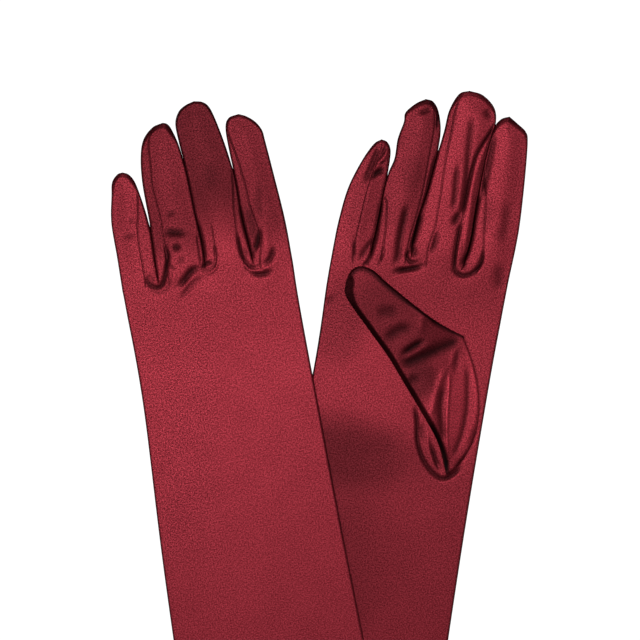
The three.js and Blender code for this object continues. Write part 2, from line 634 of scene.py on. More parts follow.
@dataclass(frozen=True)
class Satin:
    """One finish of the satin.

    Attributes:
        name: the material's name.
        dark: the colour of the floats that lie away from the light.
        light: the colour of the floats that shine.
        roughness: how far the shine spreads.
        metallic: how much of the colour is in the shine.
        sheen: how much fuzz there is.
        grain: how strongly the floats sparkle.
        bump: the height of the weave, in metres.
        grain_scale: how far the noise is stretched before the grain scales it.
        roughness_drift: how far the roughness swings with the floats' tone.
        stitch_row: the v of a row of stitches, or None without one.
    """

    name: str
    dark: tuple[float, float, float]
    light: tuple[float, float, float]
    roughness: float = 0.44
    metallic: float = 0.72
    sheen: float = 0.05
    grain: float = 0.54
    bump: float = 0.00004
    grain_scale: float = 9.0
    roughness_drift: float = 0.05
    stitch_row: float | None = None

    @staticmethod
    def stitch_group() -> bpy.types.NodeTree:
        """Makes the group for a row of stitches once.

        Returns:
            The group: it takes the flat cloth's place and the row's v, and gives 1 on the thread.
        """
        found = bpy.data.node_groups.get("row of stitches")
        if found:
            return found
        stitch_length, stitch_share, half_thread = 2.6, 0.7, 0.28
        board, group = Board.group("row of stitches", {"Cloth": "Vector", "Row": "Float"}, ("Thread",))
        inward, outward = board.nodes.new("NodeGroupInput"), board.nodes.new("NodeGroupOutput")
        split = board.put("SeparateXYZ", {}, {0: inward.outputs["Cloth"]})
        past = board.math("SUBTRACT", split.outputs["Y"], inward.outputs["Row"])
        away = board.math("ABSOLUTE", past, 0.0)
        on_row = board.math("LESS_THAN", away, half_thread)
        step = board.math("FLOORED_MODULO", split.outputs["X"], stitch_length)
        on_stitch = board.math("LESS_THAN", step, stitch_length * stitch_share)
        board.links.new(board.math("MULTIPLY", on_row, on_stitch), outward.inputs["Thread"])
        return group

    @staticmethod
    def weave_group() -> bpy.types.NodeTree:
        """Makes the weave group once.

        Returns:
            The group: it takes the flat cloth's place and gives the floats' tone and height.
        """
        found = bpy.data.node_groups.get("satin weave")
        if found:
            return found
        middle_tone, drift_share, twill_share = 0.4, 0.25, 0.35
        inputs = {"Cloth": "Vector", "Grain": "Float"}
        board, group = Board.group("satin weave", inputs, ("Tone", "Height"))
        inward, outward = board.nodes.new("NodeGroupInput"), board.nodes.new("NodeGroupOutput")
        on_cloth = {"Vector": inward.outputs["Cloth"]}
        sparkle = board.put("TexNoise", {"Scale": 1.4, "Detail": 2.5, "Roughness": 0.75}, on_cloth)
        drift = board.put("TexNoise", {"Scale": 0.07, "Detail": 3.0}, on_cloth)
        twill = board.put("TexWave", {"Scale": 1.1, "Distortion": 1.5, "Detail Scale": 2.0}, on_cloth,
                          wave_type="BANDS", bands_direction="DIAGONAL")
        centred = board.math("SUBTRACT", sparkle.outputs["Fac"], 0.5)
        strong = board.math("MULTIPLY", centred, inward.outputs["Grain"])
        spread = board.math("MULTIPLY_ADD", drift.outputs["Fac"], drift_share, strong)
        board.links.new(board.math("ADD", spread, middle_tone, clamp=True), outward.inputs["Tone"])
        height = board.math("MULTIPLY_ADD", twill.outputs["Fac"], twill_share, sparkle.outputs["Fac"])
        board.links.new(height, outward.inputs["Height"])
        return group

    def material(self) -> bpy.types.Material:
        """Makes the material once.

        Returns:
            The material.
        """
        found = bpy.data.materials.get(self.name)
        if found:
            return found
        made = bpy.data.materials.new(self.name)
        made.use_nodes = True
        board = Board(made.node_tree)
        shader = board.nodes["Principled BSDF"]
        place = board.put("Attribute", {}, {}, attribute_name="cloth").outputs["Vector"]
        weave = board.nodes.new("ShaderNodeGroup")
        weave.node_tree = self.weave_group()
        weave.inputs["Grain"].default_value = self.grain * self.grain_scale
        board.links.new(place, weave.inputs["Cloth"])
        tone = weave.outputs["Tone"]
        colour = board.put("Mix", {}, {}, data_type="RGBA")
        colour.inputs["A"].default_value = (*self.dark, 1)
        colour.inputs["B"].default_value = (*self.light, 1)
        board.links.new(tone, colour.inputs["Factor"])
        # Painted shade and highlight: the base colour is multiplied by the lay attribute.
        lay = board.put("Attribute", {}, {}, attribute_name="lay").outputs["Fac"]
        painted_colour = board.put("Mix", {"Factor": 1.0}, {}, data_type="RGBA", blend_type="MULTIPLY")
        board.links.new(colour.outputs["Result"], painted_colour.inputs["A"])
        board.links.new(lay, painted_colour.inputs["B"])
        surface, relief = painted_colour.outputs["Result"], weave.outputs["Height"]
        if self.stitch_row is not None:
            surface, relief = self.stitched(board, place, surface, relief)
        drift = self.roughness_drift
        ends = {"To Min": self.roughness + drift, "To Max": self.roughness - drift}
        rough = board.put("MapRange", ends, {"Value": tone})
        bump = board.put("Bump", {"Distance": self.bump, "Strength": 0.7}, {"Height": relief})
        board.links.new(surface, shader.inputs["Base Color"])
        board.links.new(rough.outputs["Result"], shader.inputs["Roughness"])
        board.links.new(bump.outputs["Normal"], shader.inputs["Normal"])
        shader.inputs["Metallic"].default_value = self.metallic
        shader.inputs["Specular IOR Level"].default_value = 0.2
        shader.inputs["Sheen Weight"].default_value = self.sheen
        shader.inputs["Sheen Roughness"].default_value = 0.4
        shader.inputs["Sheen Tint"].default_value = (*self.light, 1)
        return made

    def stitched(self, board: Board, place: bpy.types.NodeSocket, surface: bpy.types.NodeSocket,
                 relief: bpy.types.NodeSocket) -> tuple[bpy.types.NodeSocket, bpy.types.NodeSocket]:
        """Adds the row of stitches to a material.

        Args:
            board: the material's nodes.
            place: the flat cloth's place.
            surface: the cloth's colour.
            relief: the cloth's height.

        Returns:
            The colour and the height with the stitches.
        """
        thread_tone, thread_height = 0.45, 4.0
        row = board.nodes.new("ShaderNodeGroup")
        row.node_tree = self.stitch_group()
        row.inputs["Row"].default_value = self.stitch_row
        board.links.new(place, row.inputs["Cloth"])
        thread = row.outputs["Thread"]
        colour = board.put("Mix", {}, {}, data_type="RGBA")
        colour.inputs["B"].default_value = (*(thread_tone * part for part in self.light), 1)
        board.links.new(thread, colour.inputs["Factor"])
        board.links.new(surface, colour.inputs["A"])
        return colour.outputs["Result"], board.math("MULTIPLY_ADD", thread, thread_height, relief)


FACE = Satin("burgundy_satin", (0.24, 0.016, 0.027), (0.62, 0.057, 0.086))
STRIP = Satin("burgundy_satin_strips", (0.22, 0.015, 0.025), (0.58, 0.053, 0.08))
HEM = Satin("burgundy_satin_hem", (0.23, 0.015, 0.026), (0.6, 0.055, 0.083), roughness=0.48,
            stitch_row=-447.0)


@dataclass(frozen=True)
class Thickness:
    """How thick a laid glove is along its length, and where it lies.

    Attributes:
        sleeve: half the height of the two plies at the cuff.
        hand: half the height across the hand.
        finger: half the height of a finger.
        side_roll: how softly the sides of the hand and fingers turn over.
    """

    sleeve: float = 1.0
    hand: float = 1.35
    finger: float = 2.1
    side_roll: float = 0.95

    def half(self, v: np.ndarray) -> np.ndarray:
        """Half the height between the plies at the given v."""
        low = self.sleeve + (self.hand - self.sleeve) * smooth(-260, -60, v)
        return low + (self.finger - self.hand) * smooth(-45, 16, v)


@dataclass(frozen=True)
class Thumb:
    """The thumb, folded flat over or under the palm.

    Attributes:
        root: the seam that joins it to the hand, from its lower to its upper end.
        lower: its edge from the root's lower end to the tip.
        upper: its edge from the root's upper end to the tip.
        half: half its height.
        lower_roll: over what length its lower edge turns over.
        upper_roll: over what length its upper edge turns over.
        root_roll: over what length it rises from the seam at its root.
        tip_widening: how much wider its lower edge turns over near the tip.
        tip_from: between which v that sets in.
        edge_shade: the share of the base colour that is left where the cloth turns over, as painted shade.
        least_rise: the share of its height that it has at its root.
        relief_onset: how soon its folds reach their height inside its edges.
        ply_gap: how far its under side bows up.
        creases: its folds and seams.
        painted_light_patches: patches of painted shade, and of painted highlight where a value is over 1.
        across: how many quads it has across.
        along: how many it has along.
    """

    root: Line
    lower: Line = ((31.8, -104.4), (25.5, -90), (18.5, -80), (1.5, -60), (-9, -48), (-20.3, -37),
                   (-34.5, -22.5), (-36.3, -15))
    upper: Line = ((28.0, -31.7), (16, -27.8), (4.2, -22.3), (-14.4, -12), (-23.5, -6.4), (-30.5, -5.5),
                   (-34.8, -9.0), (-36.3, -15))
    half: float = 1.35
    lower_roll: float = 2.4
    upper_roll: float = 1.6
    root_roll: float = 24.0
    tip_widening: float = 0.8
    tip_from: Point = (-27, -18)
    edge_shade: float = 0.25
    least_rise: float = 0.12
    relief_onset: float = 1.4
    ply_gap: float = 0.1
    creases: tuple[Crease, ...] = ()
    painted_light_patches: tuple[Tone, ...] = ()
    across: int = 84
    along: int = 130

    def grid(self) -> tuple[np.ndarray, np.ndarray]:
        """Spreads the thumb's points on the flat cloth.

        Returns:
            Their u and v, in rows from the root to the tip.
        """
        lower = curve_through(self.lower, self.along + 1)
        upper = curve_through(self.upper, self.along + 1)
        root = curve_through(self.root, self.across + 1)
        s = Columns.spread(self.across, 0.5)[None, :]
        chord = root[0] + (root[-1] - root[0]) * s[0][:, None]
        even = np.linspace(0, 1, self.across + 1)
        root = np.column_stack([np.interp(s[0], even, root[:, k]) for k in (0, 1)])
        bulge = (root - chord)[None]
        fade = (1 - np.linspace(0, 1, self.along + 1))[:, None, None] ** 1.5
        rows = lower[:, None] + (upper - lower)[:, None] * s[..., None] + bulge * fade
        return rows[..., 0], rows[..., 1]

    def edge_distances(self, u: np.ndarray, v: np.ndarray) -> tuple[np.ndarray, np.ndarray, np.ndarray]:
        """How far places lie from the thumb's edges.

        Args:
            u: the places' u.
            v: the places' v.

        Returns:
            The distance to the lower and to the upper edge, and how near the tip each place is.
        """
        low = nearest_on(curve_through(self.lower, 70), u, v)[0]
        high = nearest_on(curve_through(self.upper, 70), u, v)[0]
        return low, high, smooth(*self.tip_from, v)

    def rise(self, u: np.ndarray, v: np.ndarray) -> np.ndarray:
        """How far the thumb's cloth has risen from its edges.

        Args:
            u: the places' u.
            v: the places' v.

        Returns:
            0 on the edges, 1 inside.
        """
        low, high, at_tip = self.edge_distances(u, v)
        root = nearest_on(curve_through(self.root, 40), u, v)[0]
        slope = np.clip(low / (self.lower_roll * (1 + self.tip_widening * at_tip)), 0, 1)
        slope = slope * (2 - slope) * 0.5 + smooth(0, 1, slope) * 0.5
        ramp = 0.5 * np.clip(root / self.root_roll, 0, 1) + 0.5 * smooth(0, self.root_roll, root)
        return slope * rounded(high, self.upper_roll) * (self.least_rise + (1 - self.least_rise) * ramp)

    def painted_edge_share(self, u: np.ndarray, v: np.ndarray) -> np.ndarray:
        """The painted shade where the thumb's cloth turns over.

        Args:
            u: the places' u.
            v: the places' v.

        Returns:
            The share of the base colour, 1 on the thumb's face.
        """
        low, high, at_tip = self.edge_distances(u, v)
        face = smooth(0.6, 1.15, low / (self.lower_roll * (1 + self.tip_widening * at_tip)))
        face = face * smooth(0.5, 1.2, high / (self.upper_roll * (1 + at_tip)))
        return self.edge_shade + (1 - self.edge_shade) * face


@dataclass(frozen=True)
class Shape:
    """What is drawn for one glove.

    Attributes:
        left: the hand's and sleeve's edge on the little finger's side, from the cuff to the knuckles.
        right: the same edge on the thumb's side.
        fingers: its fingers, from the little one to the index.
        thumb: its thumb.
        creases: the folds and seams of the hand and the fingers' upper side.
        oval: the seam of the thumb's root on the hand, where the upper side shows it.
        painted_light_patches: patches of painted shade on the hand and fingers, and of painted highlight
            where a value is over 1.
    """

    left: Line
    right: Line
    fingers: tuple[Finger, ...]
    thumb: Thumb
    creases: tuple[Crease, ...]
    oval: Line = ()
    painted_light_patches: tuple[Tone, ...] = ()


class Glove:
    """One glove, laid with its upper side seen.

    Attributes:
        hem_depth: the turned band at the cuff.
        fine_rows: the step of the rows on the fingers and the hand.
        coarse_rows: their step on the sleeve.
        relax: how far below the knuckles the fingers' columns have spread evenly.
        web: how much farther from an edge a place counts where two fingers are one cloth.
        fork_reach: how far on either side of a fork the fingers part.
        crown_height: how much higher a finger is along its middle.
        crown_reach: how far in from its edges it has reached that height.
        side_fullness: how full the fold at the sides is: 2 is a round edge.
        groove_depth: the depth of the seams of the fingers' strips.
        groove_width: their half width.
        groove_shade: how much painted shade a millimetre of their depth puts into the base colour.
        edge_shade: the share of the base colour that is left where the cloth turns over, as painted shade.
        relief_roll: over what length from an edge the folds reach their height.
        under_roll: over what length the under side turns up.
        under_strip: the width of a finger's side strip on the under side.
        widest_strip: the most of a finger's width that a strip takes, on the upper and the under side.
        table_gap: the height of the lowest cloth over the table.
        thumb_gap: the height of the thumb over the palm.
        hinge_height: the height of a line along the knuckles; the points that attach works out from it are
            not used.
        bend: a length past the knuckle line; the point that attach works out from it is not used.
        thumb_hinge: a place and a height at the thumb's root; the point that attach_thumb works out from
            it is not used.
        thumb_bend: a length past that place; the point that attach_thumb works out from it is not used.
        lining_gap: how far inside the sleeve the turned-in ply of the hem lies.
        least_width: the narrowest width that declare works out for a cloth, in metres.
        least_area: the least share of its box that declare lets a cloth's area be.
    """

    hem_depth = 15.0
    fine_rows = 0.75
    coarse_rows = 3.0
    relax = 40.0
    web = 4.0
    fork_reach = 2.0
    crown_height = 0.55
    crown_reach = 11.0
    side_fullness = 2.3
    groove_depth = 0.2
    groove_width = 0.5
    groove_shade = 1.3
    edge_shade = 0.5
    relief_roll = 1.2
    under_roll = 1.3
    under_strip = 4.0
    widest_strip = (0.46, 0.3)
    table_gap = 0.15
    thumb_gap = 0.12
    hinge_height = 6.4
    bend = 11.0
    thumb_hinge = (37.0, -62.5, 9.8)
    thumb_bend = 13.0
    lining_gap = 0.42
    least_width = 0.0101
    least_area = 0.31

    def __init__(self, side: str, place: Place, shape: Shape, upper: str, under: str,
                 thickness: Thickness) -> None:
        """Keeps what the glove is made from.

        Args:
            side: right or left.
            place: where it lies.
            shape: what is drawn for it.
            upper: the name of its upper side, palm or back.
            under: the name of its under side.
            thickness: its heights.
        """
        self.side, self.place, self.shape = side, place, shape
        self.upper, self.under, self.thickness = upper, under, thickness
        self.columns = Columns()
        self.left_edge = curve_through(shape.left, 240)
        self.right_edge = curve_through(shape.right, 240)
        self.sides = {
            f.name: (curve_through(f.left, 150), curve_through(f.right, 150)) for f in shape.fingers
        }
        for finger, following in zip(shape.fingers, shape.fingers[1:]):
            self.press(self.sides[finger.name][1], self.sides[following.name][0], finger)
        forks = [None, *(finger.fork for finger in shape.fingers[:-1]), None]
        self.forks = {finger.name: (forks[k], forks[k + 1]) for k, finger in enumerate(shape.fingers)}
        self.pieces: dict[str, bpy.types.Object] = {}

    @staticmethod
    def press(side: np.ndarray, facing: np.ndarray, finger: Finger) -> None:
        """Presses two neighbouring fingers together, so that no table shows between them.

        Args:
            side: the first finger's edge.
            facing: the second finger's edge.
            finger: the first finger.
        """
        first = np.interp(side[:, 1], facing[:, 1], facing[:, 0])
        second = np.interp(facing[:, 1], side[:, 1], side[:, 0])
        for line, other, way in ((side, first, 1), (facing, second, -1)):
            v = line[:, 1]
            share = smooth(0, 1, v) * smooth(finger.touch + 1.0, finger.touch - 6, v)
            lap = 0.05 + 0.17 * smooth(finger.fork - 1, finger.fork + 2.5, v)
            line[:, 0] += share * ((line[:, 0] + other) / 2 + way * lap - line[:, 0])

    @property
    def body(self) -> str:
        """The CAD body of the hand and the sleeve."""
        return f"{self.side}_glove"

    def base(self, u: np.ndarray, v: np.ndarray) -> np.ndarray:
        """The height of the under side over the table."""
        return np.full(np.shape(u), self.table_gap)

    def edge_u(self, edge: np.ndarray, v: np.ndarray) -> np.ndarray:
        """The u of a side edge at the given v."""
        return np.interp(v, edge[:, 1], edge[:, 0])

    def closed(self, fork: float | None, v: np.ndarray) -> np.ndarray:
        """How far two fingers are still one cloth, from 1 at their roots to 0 past their fork."""
        reach = self.fork_reach
        return np.zeros(np.shape(v)) if fork is None else smooth(fork + reach, fork - reach, v)

    def distances(self, u: np.ndarray, v: np.ndarray,
                  finger: Finger | None) -> tuple[np.ndarray, np.ndarray]:
        """How far places lie from the edges.

        Args:
            u: the places' u.
            v: the places' v.
            finger: the finger that they lie on, or None on the hand.

        Returns:
            The distance to the edges where the cloth turns over, and to those between which it is plump.
        """
        if finger is None:
            turned = np.minimum(u - self.edge_u(self.left_edge, v), self.edge_u(self.right_edge, v) - u)
            turned = np.maximum(turned, 0)
            plump = turned
            for follower in self.shape.fingers[1:]:
                plump = np.minimum(plump, np.hypot(u - follower.left[0][0], v - follower.left[0][1]))
            return turned, plump
        turned = plump = np.full(np.shape(u), FAR)
        for side, fork in zip(self.sides[finger.name], self.forks[finger.name]):
            gap = nearest_on(np.vstack([side[:-1:2], side[-1:]]), u, v)[0]
            plump = np.minimum(plump, gap)
            turned = np.minimum(turned, gap + self.web * self.closed(fork, v))
        return turned, plump

    def upper_height(self, u: np.ndarray, v: np.ndarray, finger: Finger | None = None) -> np.ndarray:
        """The height of the upper side.

        Args:
            u: the places' u.
            v: the places' v.
            finger: the finger that they lie on, or None on the hand.

        Returns:
            The height over the table.
        """
        half = self.thickness.half(v)
        distance, crown = self.distances(u, v, finger)
        rise = rounded(distance, *self.turning(v, finger))
        z = self.base(u, v) + half + half * rise
        z = z + self.plumpness(crown, v) * rise
        return z + relief_of(self.shape.creases, u, v) * rounded(distance, self.relief_roll)

    def turning(self, v: np.ndarray, finger: Finger | None) -> tuple[np.ndarray, np.ndarray]:
        """How the cloth turns over at its edges.

        Args:
            v: the places' v.
            finger: the finger that they lie on, or None on the hand.

        Returns:
            Over what length it turns, and how full the fold is.
        """
        roll, fullness = self.thickness.side_roll, self.side_fullness
        if finger is None:
            return np.full(np.shape(v), roll), np.full(np.shape(v), fullness)
        end = finger.tip[1]
        near_tip = smooth(end - 13, end - 3, v)
        turned = roll + (finger.tip_roll - roll) * near_tip
        return turned, fullness + (finger.tip_fullness - fullness) * near_tip

    def lay(self, u: np.ndarray, v: np.ndarray, under: bool, finger: Finger | None = None) -> np.ndarray:
        """The painted shade and highlight at each place: patches, whole fingers, creases and the turned
        edges.

        Args:
            u: the places' u.
            v: the places' v.
            under: whether they lie on the under side, which has no folds.
            finger: the finger that they lie on, or None on the hand.

        Returns:
            The share of the base colour, 1 where nothing is painted.
        """
        share = np.ones(np.shape(u))
        for patch in self.shape.painted_light_patches:
            share = share * patch.share(u, v)
        # Painted shade over the whole finger.
        if finger is not None:
            share = share * (1 + (finger.tone - 1) * smooth(*finger.tone_from, v))
        if not under:
            # Painted shade along valleys and seams, painted highlight along ridges.
            for crease in self.shape.creases:
                share = share * crease.shade(u, v)
            # Painted shade where the cloth turns over at the edges.
            face = smooth(0.1, 1.0, self.distances(u, v, finger)[0] / self.turning(v, finger)[0])
            share = share * (self.edge_shade + (1 - self.edge_shade) * face)
        return share

    def plumpness(self, distance: np.ndarray, v: np.ndarray) -> np.ndarray:
        """The gentle crown of a finger between its sides."""
        return self.crown_height * smooth(0, self.crown_reach, distance) * smooth(-20, 25, v)

    def under_height(self, u: np.ndarray, v: np.ndarray, finger: Finger | None = None) -> np.ndarray:
        """The height of the under side, which lies flat between its rolled edges.

        Args:
            u: the places' u.
            v: the places' v.
            finger: the finger that they lie on, or None on the hand.

        Returns:
            The height over the table.
        """
        half = self.thickness.half(v)
        return self.base(u, v) + half - half * rounded(self.distances(u, v, finger)[0], self.under_roll)

    def stations(self, finger: Finger, width: np.ndarray, v: np.ndarray, under: bool) -> np.ndarray:
        """Where a finger's columns cross its rows.

        Args:
            finger: the finger.
            width: each row's width.
            v: each row's v.
            under: whether the under side is asked for.

        Returns:
            Each column's share of the width, rows by columns.
        """
        strip, face = self.columns.of(under)
        width = np.maximum(width, TINY)
        if under:
            a = b = np.minimum(self.under_strip / width, self.widest_strip[1])
        else:
            a = np.minimum(finger.seam_left.at(v) / width, self.widest_strip[0])
            b = np.minimum(finger.seam_right.at(v) / width, self.widest_strip[0])
        a, b = a[:, None], b[:, None]
        ends, middle = Columns.spread(strip)[None], Columns.spread(face)[None]
        return np.hstack([a * ends, a + (1 - a - b) * middle[:, 1:-1], 1 - b + b * ends])

    def finger_patch(self, cloth: Cloth, finger: Finger, under: bool) -> None:
        """Adds the upper or the under side of one finger.

        Args:
            cloth: the glove's surface.
            finger: the finger.
            under: whether to add the under side.
        """
        length = finger.tip[1]
        rows = int(length / self.fine_rows) + 14
        t = np.linspace(0, 1, rows)
        left, right = (self.resampled(side, rows) for side in self.sides[finger.name])
        width = np.linalg.norm(right - left, axis=1)
        share = self.stations(finger, width, (left[:, 1] + right[:, 1]) / 2, under)[..., None]
        grid = left[:, None] + (right - left)[:, None] * share
        u, v = grid[..., 0], grid[..., 1]
        z = self.under_height(u, v, finger) if under else self.upper_height(u, v, finger)
        lay = self.lay(u, v, under, finger)
        if not under:
            # The seams' grooves are sunk into the cloth and get painted shade.
            groove = self.seam_groove(finger, grid, t)
            z, lay = z - groove, lay * (1 - self.groove_shade * groove)
        self.share_edges(z, u, v, self.forks[finger.name])
        strip, face = self.columns.of(under)
        names = [f"{finger.name}_strip_left"] * strip
        names += [f"{finger.name}_{self.under if under else self.upper}"] * face
        names += [f"{finger.name}_strip_right"] * strip
        labels = np.broadcast_to(np.array(names, dtype=object), (rows - 1, len(names)))
        cloth.add(u, v, z, lay, labels, under)

    @staticmethod
    def resampled(side: np.ndarray, rows: int) -> np.ndarray:
        """Spreads a finger's edge over the rows of its patch.

        Args:
            side: the edge's samples.
            rows: how many rows the patch has.

        Returns:
            One sample for each row.
        """
        at = np.linspace(0, len(side) - 1, rows)
        every = np.arange(len(side))
        return np.column_stack([np.interp(at, every, side[:, 0]), np.interp(at, every, side[:, 1])])

    def share_edges(self, z: np.ndarray, u: np.ndarray, v: np.ndarray,
                    forks: tuple[float | None, float | None] = (None, None)) -> None:
        """Sets a patch's outermost columns to the height that both plies share there.

        Args:
            z: the patch's heights, which are changed.
            u: its places' u.
            v: its places' v.
            forks: where the fingers part on either side, or None on an outer side.
        """
        for column, fork in zip((0, -1), forks):
            shared = self.base(u[:, column], v[:, column]) + self.thickness.half(v[:, column])
            z[:, column] = shared + (z[:, column] - shared) * self.closed(fork, v[:, column])

    def seam_groove(self, finger: Finger, grid: np.ndarray, t: np.ndarray) -> np.ndarray:
        """The grooves where a finger's side strips are sewn on.

        Args:
            finger: the finger.
            grid: its points on the flat cloth.
            t: each row's place from the root to the tip.

        Returns:
            The depth of the grooves at each point.
        """
        depth = np.zeros(grid.shape[:2])
        for column, outermost, seamline in self.sewn_sides(finger):
            line, edge = grid[:, column], grid[:, outermost]
            gap = np.hypot(grid[..., 0] - line[:, None, 0], grid[..., 1] - line[:, None, 1])
            inset = np.hypot(line[:, 0] - edge[:, 0], line[:, 1] - edge[:, 1])
            strength = smooth(0.5, 1.6, inset) * smooth(1.0, 0.86, t) * seamline.strength(line[:, 1])
            depth += self.groove(gap) * strength[:, None]
        return depth

    def groove(self, gap: np.ndarray) -> np.ndarray:
        """The depth of a seam's groove at the given distance from the seam."""
        return self.groove_depth * np.clip(1 - gap / self.groove_width, 0, 1)

    def sewn_sides(self, finger: Finger) -> list[tuple[int, int, Seamline]]:
        """Where a finger's side strips are sewn on, except on the outside of the hand.

        Args:
            finger: the finger.

        Returns:
            For each: the seam's column, the finger's outermost column beside it, and the seam.
        """
        c = self.columns
        left = (c.strip, 0, finger.seam_left)
        right = (c.strip + c.face, -1, finger.seam_right)
        sides = ((left, finger.outer_left), (right, finger.outer_right))
        return [side for side, outer in sides if not outer]

    def hand_rows(self) -> np.ndarray:
        """Spreads the hand's rows, close together near the fingers.

        Returns:
            The v of each row.
        """
        cuff = float(self.left_edge[0, 1])
        fine_from = -112.0
        fine = np.linspace(fine_from, 0, int(-fine_from / self.fine_rows) + 1)
        coarse_count = int((fine_from - cuff) / self.coarse_rows) + 1
        coarse = np.linspace(cuff + self.hem_depth, fine_from, coarse_count)[:-1]
        hem = np.linspace(cuff, cuff + self.hem_depth, 9)[:-1]
        return np.concatenate([hem, coarse, fine])

    def hand_patch(self, cloth: Cloth, under: bool) -> None:
        """Adds the upper or the under side of the hand and sleeve.

        Args:
            cloth: the glove's surface.
            under: whether to add the under side.
        """
        v_rows = self.hand_rows()
        root = []
        for finger in self.shape.fingers:
            low, high = finger.left[0][0], finger.right[0][0]
            share = self.stations(finger, np.array([high - low]), np.array([0.0]), under)[0]
            root.append(low + (high - low) * share if not root else (low + (high - low) * share)[1:])
        root_u = np.concatenate(root)
        root_share = (root_u - root_u[0]) / (root_u[-1] - root_u[0])
        even = Columns.spread(len(root_u) - 1, 0.12)
        ease = smooth(0, -self.relax, v_rows)[:, None]
        share = root_share[None] * (1 - ease) + even[None] * ease
        left = self.edge_u(self.left_edge, v_rows)[:, None]
        right = self.edge_u(self.right_edge, v_rows)[:, None]
        u = left + (right - left) * share
        v = np.broadcast_to(v_rows[:, None], u.shape).copy()
        z = self.under_height(u, v) if under else self.upper_height(u, v)
        lay = self.lay(u, v, under)
        if not under:
            # The seams' grooves on the knuckle line are sunk and get painted shade.
            groove = self.root_grooves(root_u)
            z[-1] = z[-1] - groove
            lay[-1] = lay[-1] * (1 - self.groove_shade * groove)
        self.share_edges(z, u, v)
        inside = self.under if under else self.upper
        labels = np.full((len(v_rows) - 1, u.shape[1] - 1), inside, dtype=object)
        labels[v_rows[:-1] < v_rows[0] + self.hem_depth - 0.01] = "hem"
        if not under and self.shape.oval:
            mid_u, mid_v = (u[1:, 1:] + u[:-1, :-1]) / 2, (v[1:, 1:] + v[:-1, :-1]) / 2
            labels[inside_of(curve_through(self.shape.oval, 60), mid_u, mid_v)] = "thumb_gusset"
        cloth.add(u, v, z, lay, labels, under)

    def root_grooves(self, root_u: np.ndarray) -> np.ndarray:
        """The seam grooves on the knuckle line, so that the hand's last row meets the fingers' first.

        Args:
            root_u: the u of the hand's columns on that line.

        Returns:
            The depth of the grooves at each.
        """
        depth = np.zeros(len(root_u))
        per = 2 * self.columns.strip + self.columns.face
        for k, finger in enumerate(self.shape.fingers):
            part = slice(k * per, (k + 1) * per + 1)
            for column, _, seamline in self.sewn_sides(finger):
                gap = np.abs(root_u[part] - root_u[k * per + column])
                depth[part] += self.groove(gap) * seamline.strength(0.0)
        return depth

    def hem_lining(self, cloth: Cloth) -> None:
        """Adds the turned-in ply of the cuff's hem.

        Args:
            cloth: the glove's surface.
        """
        v = np.array([0.0, 0.12, 0.5, 2, 6, 11, self.hem_depth - 0.6]) + self.left_edge[0, 1]
        drop = np.array([0.0, 0.3, *[self.lining_gap] * 5])
        for under in (False, True):
            columns = self.columns.across_hand(under)
            share = Columns.spread(columns, 0.12)[None]
            left = self.edge_u(self.left_edge, v)[:, None] + drop[:, None]
            right = self.edge_u(self.right_edge, v)[:, None] - drop[:, None]
            u = left + (right - left) * share
            vv = np.broadcast_to(v[:, None], u.shape).copy()
            half = self.base(u, vv) + self.thickness.half(vv)
            if under:
                z = np.minimum(self.under_height(u, vv) + drop[:, None], half)
            else:
                z = np.maximum(self.upper_height(u, vv) - drop[:, None], half)
            self.share_edges(z, u, vv)
            labels = np.full((len(v) - 1, columns), "hem", dtype=object)
            cloth.add(u, vv, z, self.lay(u, vv, under), labels, not under)

    def thumb_patches(self, cloth: Cloth) -> None:
        """Adds the thumb, which lies on the palm.

        Args:
            cloth: the thumb's own surface.
        """
        thumb = self.shape.thumb
        u, v = thumb.grid()
        rise = thumb.rise(u, v)
        bed = self.thumb_bed(u, v)
        relief = relief_of(thumb.creases, u, v) * np.minimum(rise * thumb.relief_onset, 1)
        top = bed + 2 * thumb.half * rise + relief
        low = bed + thumb.ply_gap * rise
        for z in (top, low):
            z[:, 0], z[:, -1], z[0], z[-1] = bed[:, 0], bed[:, -1], bed[0], bed[-1]
        shape = (u.shape[0] - 1, u.shape[1] - 1)
        # Painted shade and highlight patches on both plies; on the upper ply also painted shade at the
        # turned edges and in valleys, painted highlight on ridges.
        lay = np.ones(u.shape)
        for patch in thumb.painted_light_patches:
            lay = lay * patch.share(u, v)
        cloth.add(u, v, low, lay, np.full(shape, "thumb_under", dtype=object), False)
        lay = lay * thumb.painted_edge_share(u, v)
        for crease in thumb.creases:
            lay = lay * crease.shade(u, v)
        cloth.add(u, v, top, lay, np.full(shape, "thumb_upper", dtype=object), True)

    def thumb_bed(self, u: np.ndarray, v: np.ndarray) -> np.ndarray:
        """The height that the thumb lies on."""
        return self.upper_height(u, v) + self.thumb_gap

    def into_objects(self, cloth: Cloth) -> None:
        """Turns the welded surface into one object for each label.

        Args:
            cloth: the surface.
        """
        points, quads, labels = cloth.weld()
        x, y = self.place.frame(points[:, 0], points[:, 1])
        world = np.column_stack([x, y, points[:, 2]]) * MM
        normals = Piece.corner_normals(world, quads)
        flat = np.column_stack([points[:, 0], points[:, 1], np.zeros(len(points))])
        for label in dict.fromkeys(labels.tolist()):
            name = f"{self.side}_{label}_cloth"
            finish, slot = FACE, "satin"
            if label == "hem":
                finish, slot = HEM, "hem_satin"
            elif "strip" in label:
                finish, slot = STRIP, "seam_satin"
            own = quads[labels == label]
            made = Piece.make(name, world, normals, flat, points[:, 3], own, finish.material())
            self.pieces[label] = made
            LOG.info("%s: %d faces of %s", name, len(own), finish.name)

    def build(self) -> None:
        """Makes every piece and hangs some of them on their bodies, as attach does."""
        cloth = Cloth()
        for under in (False, True):
            self.hand_patch(cloth, under)
            for finger in self.shape.fingers:
                self.finger_patch(cloth, finger, under)
        self.hem_lining(cloth)
        self.into_objects(cloth)
        thumb = Cloth()
        self.thumb_patches(thumb)
        self.into_objects(thumb)
        self.attach()
        self.declare()

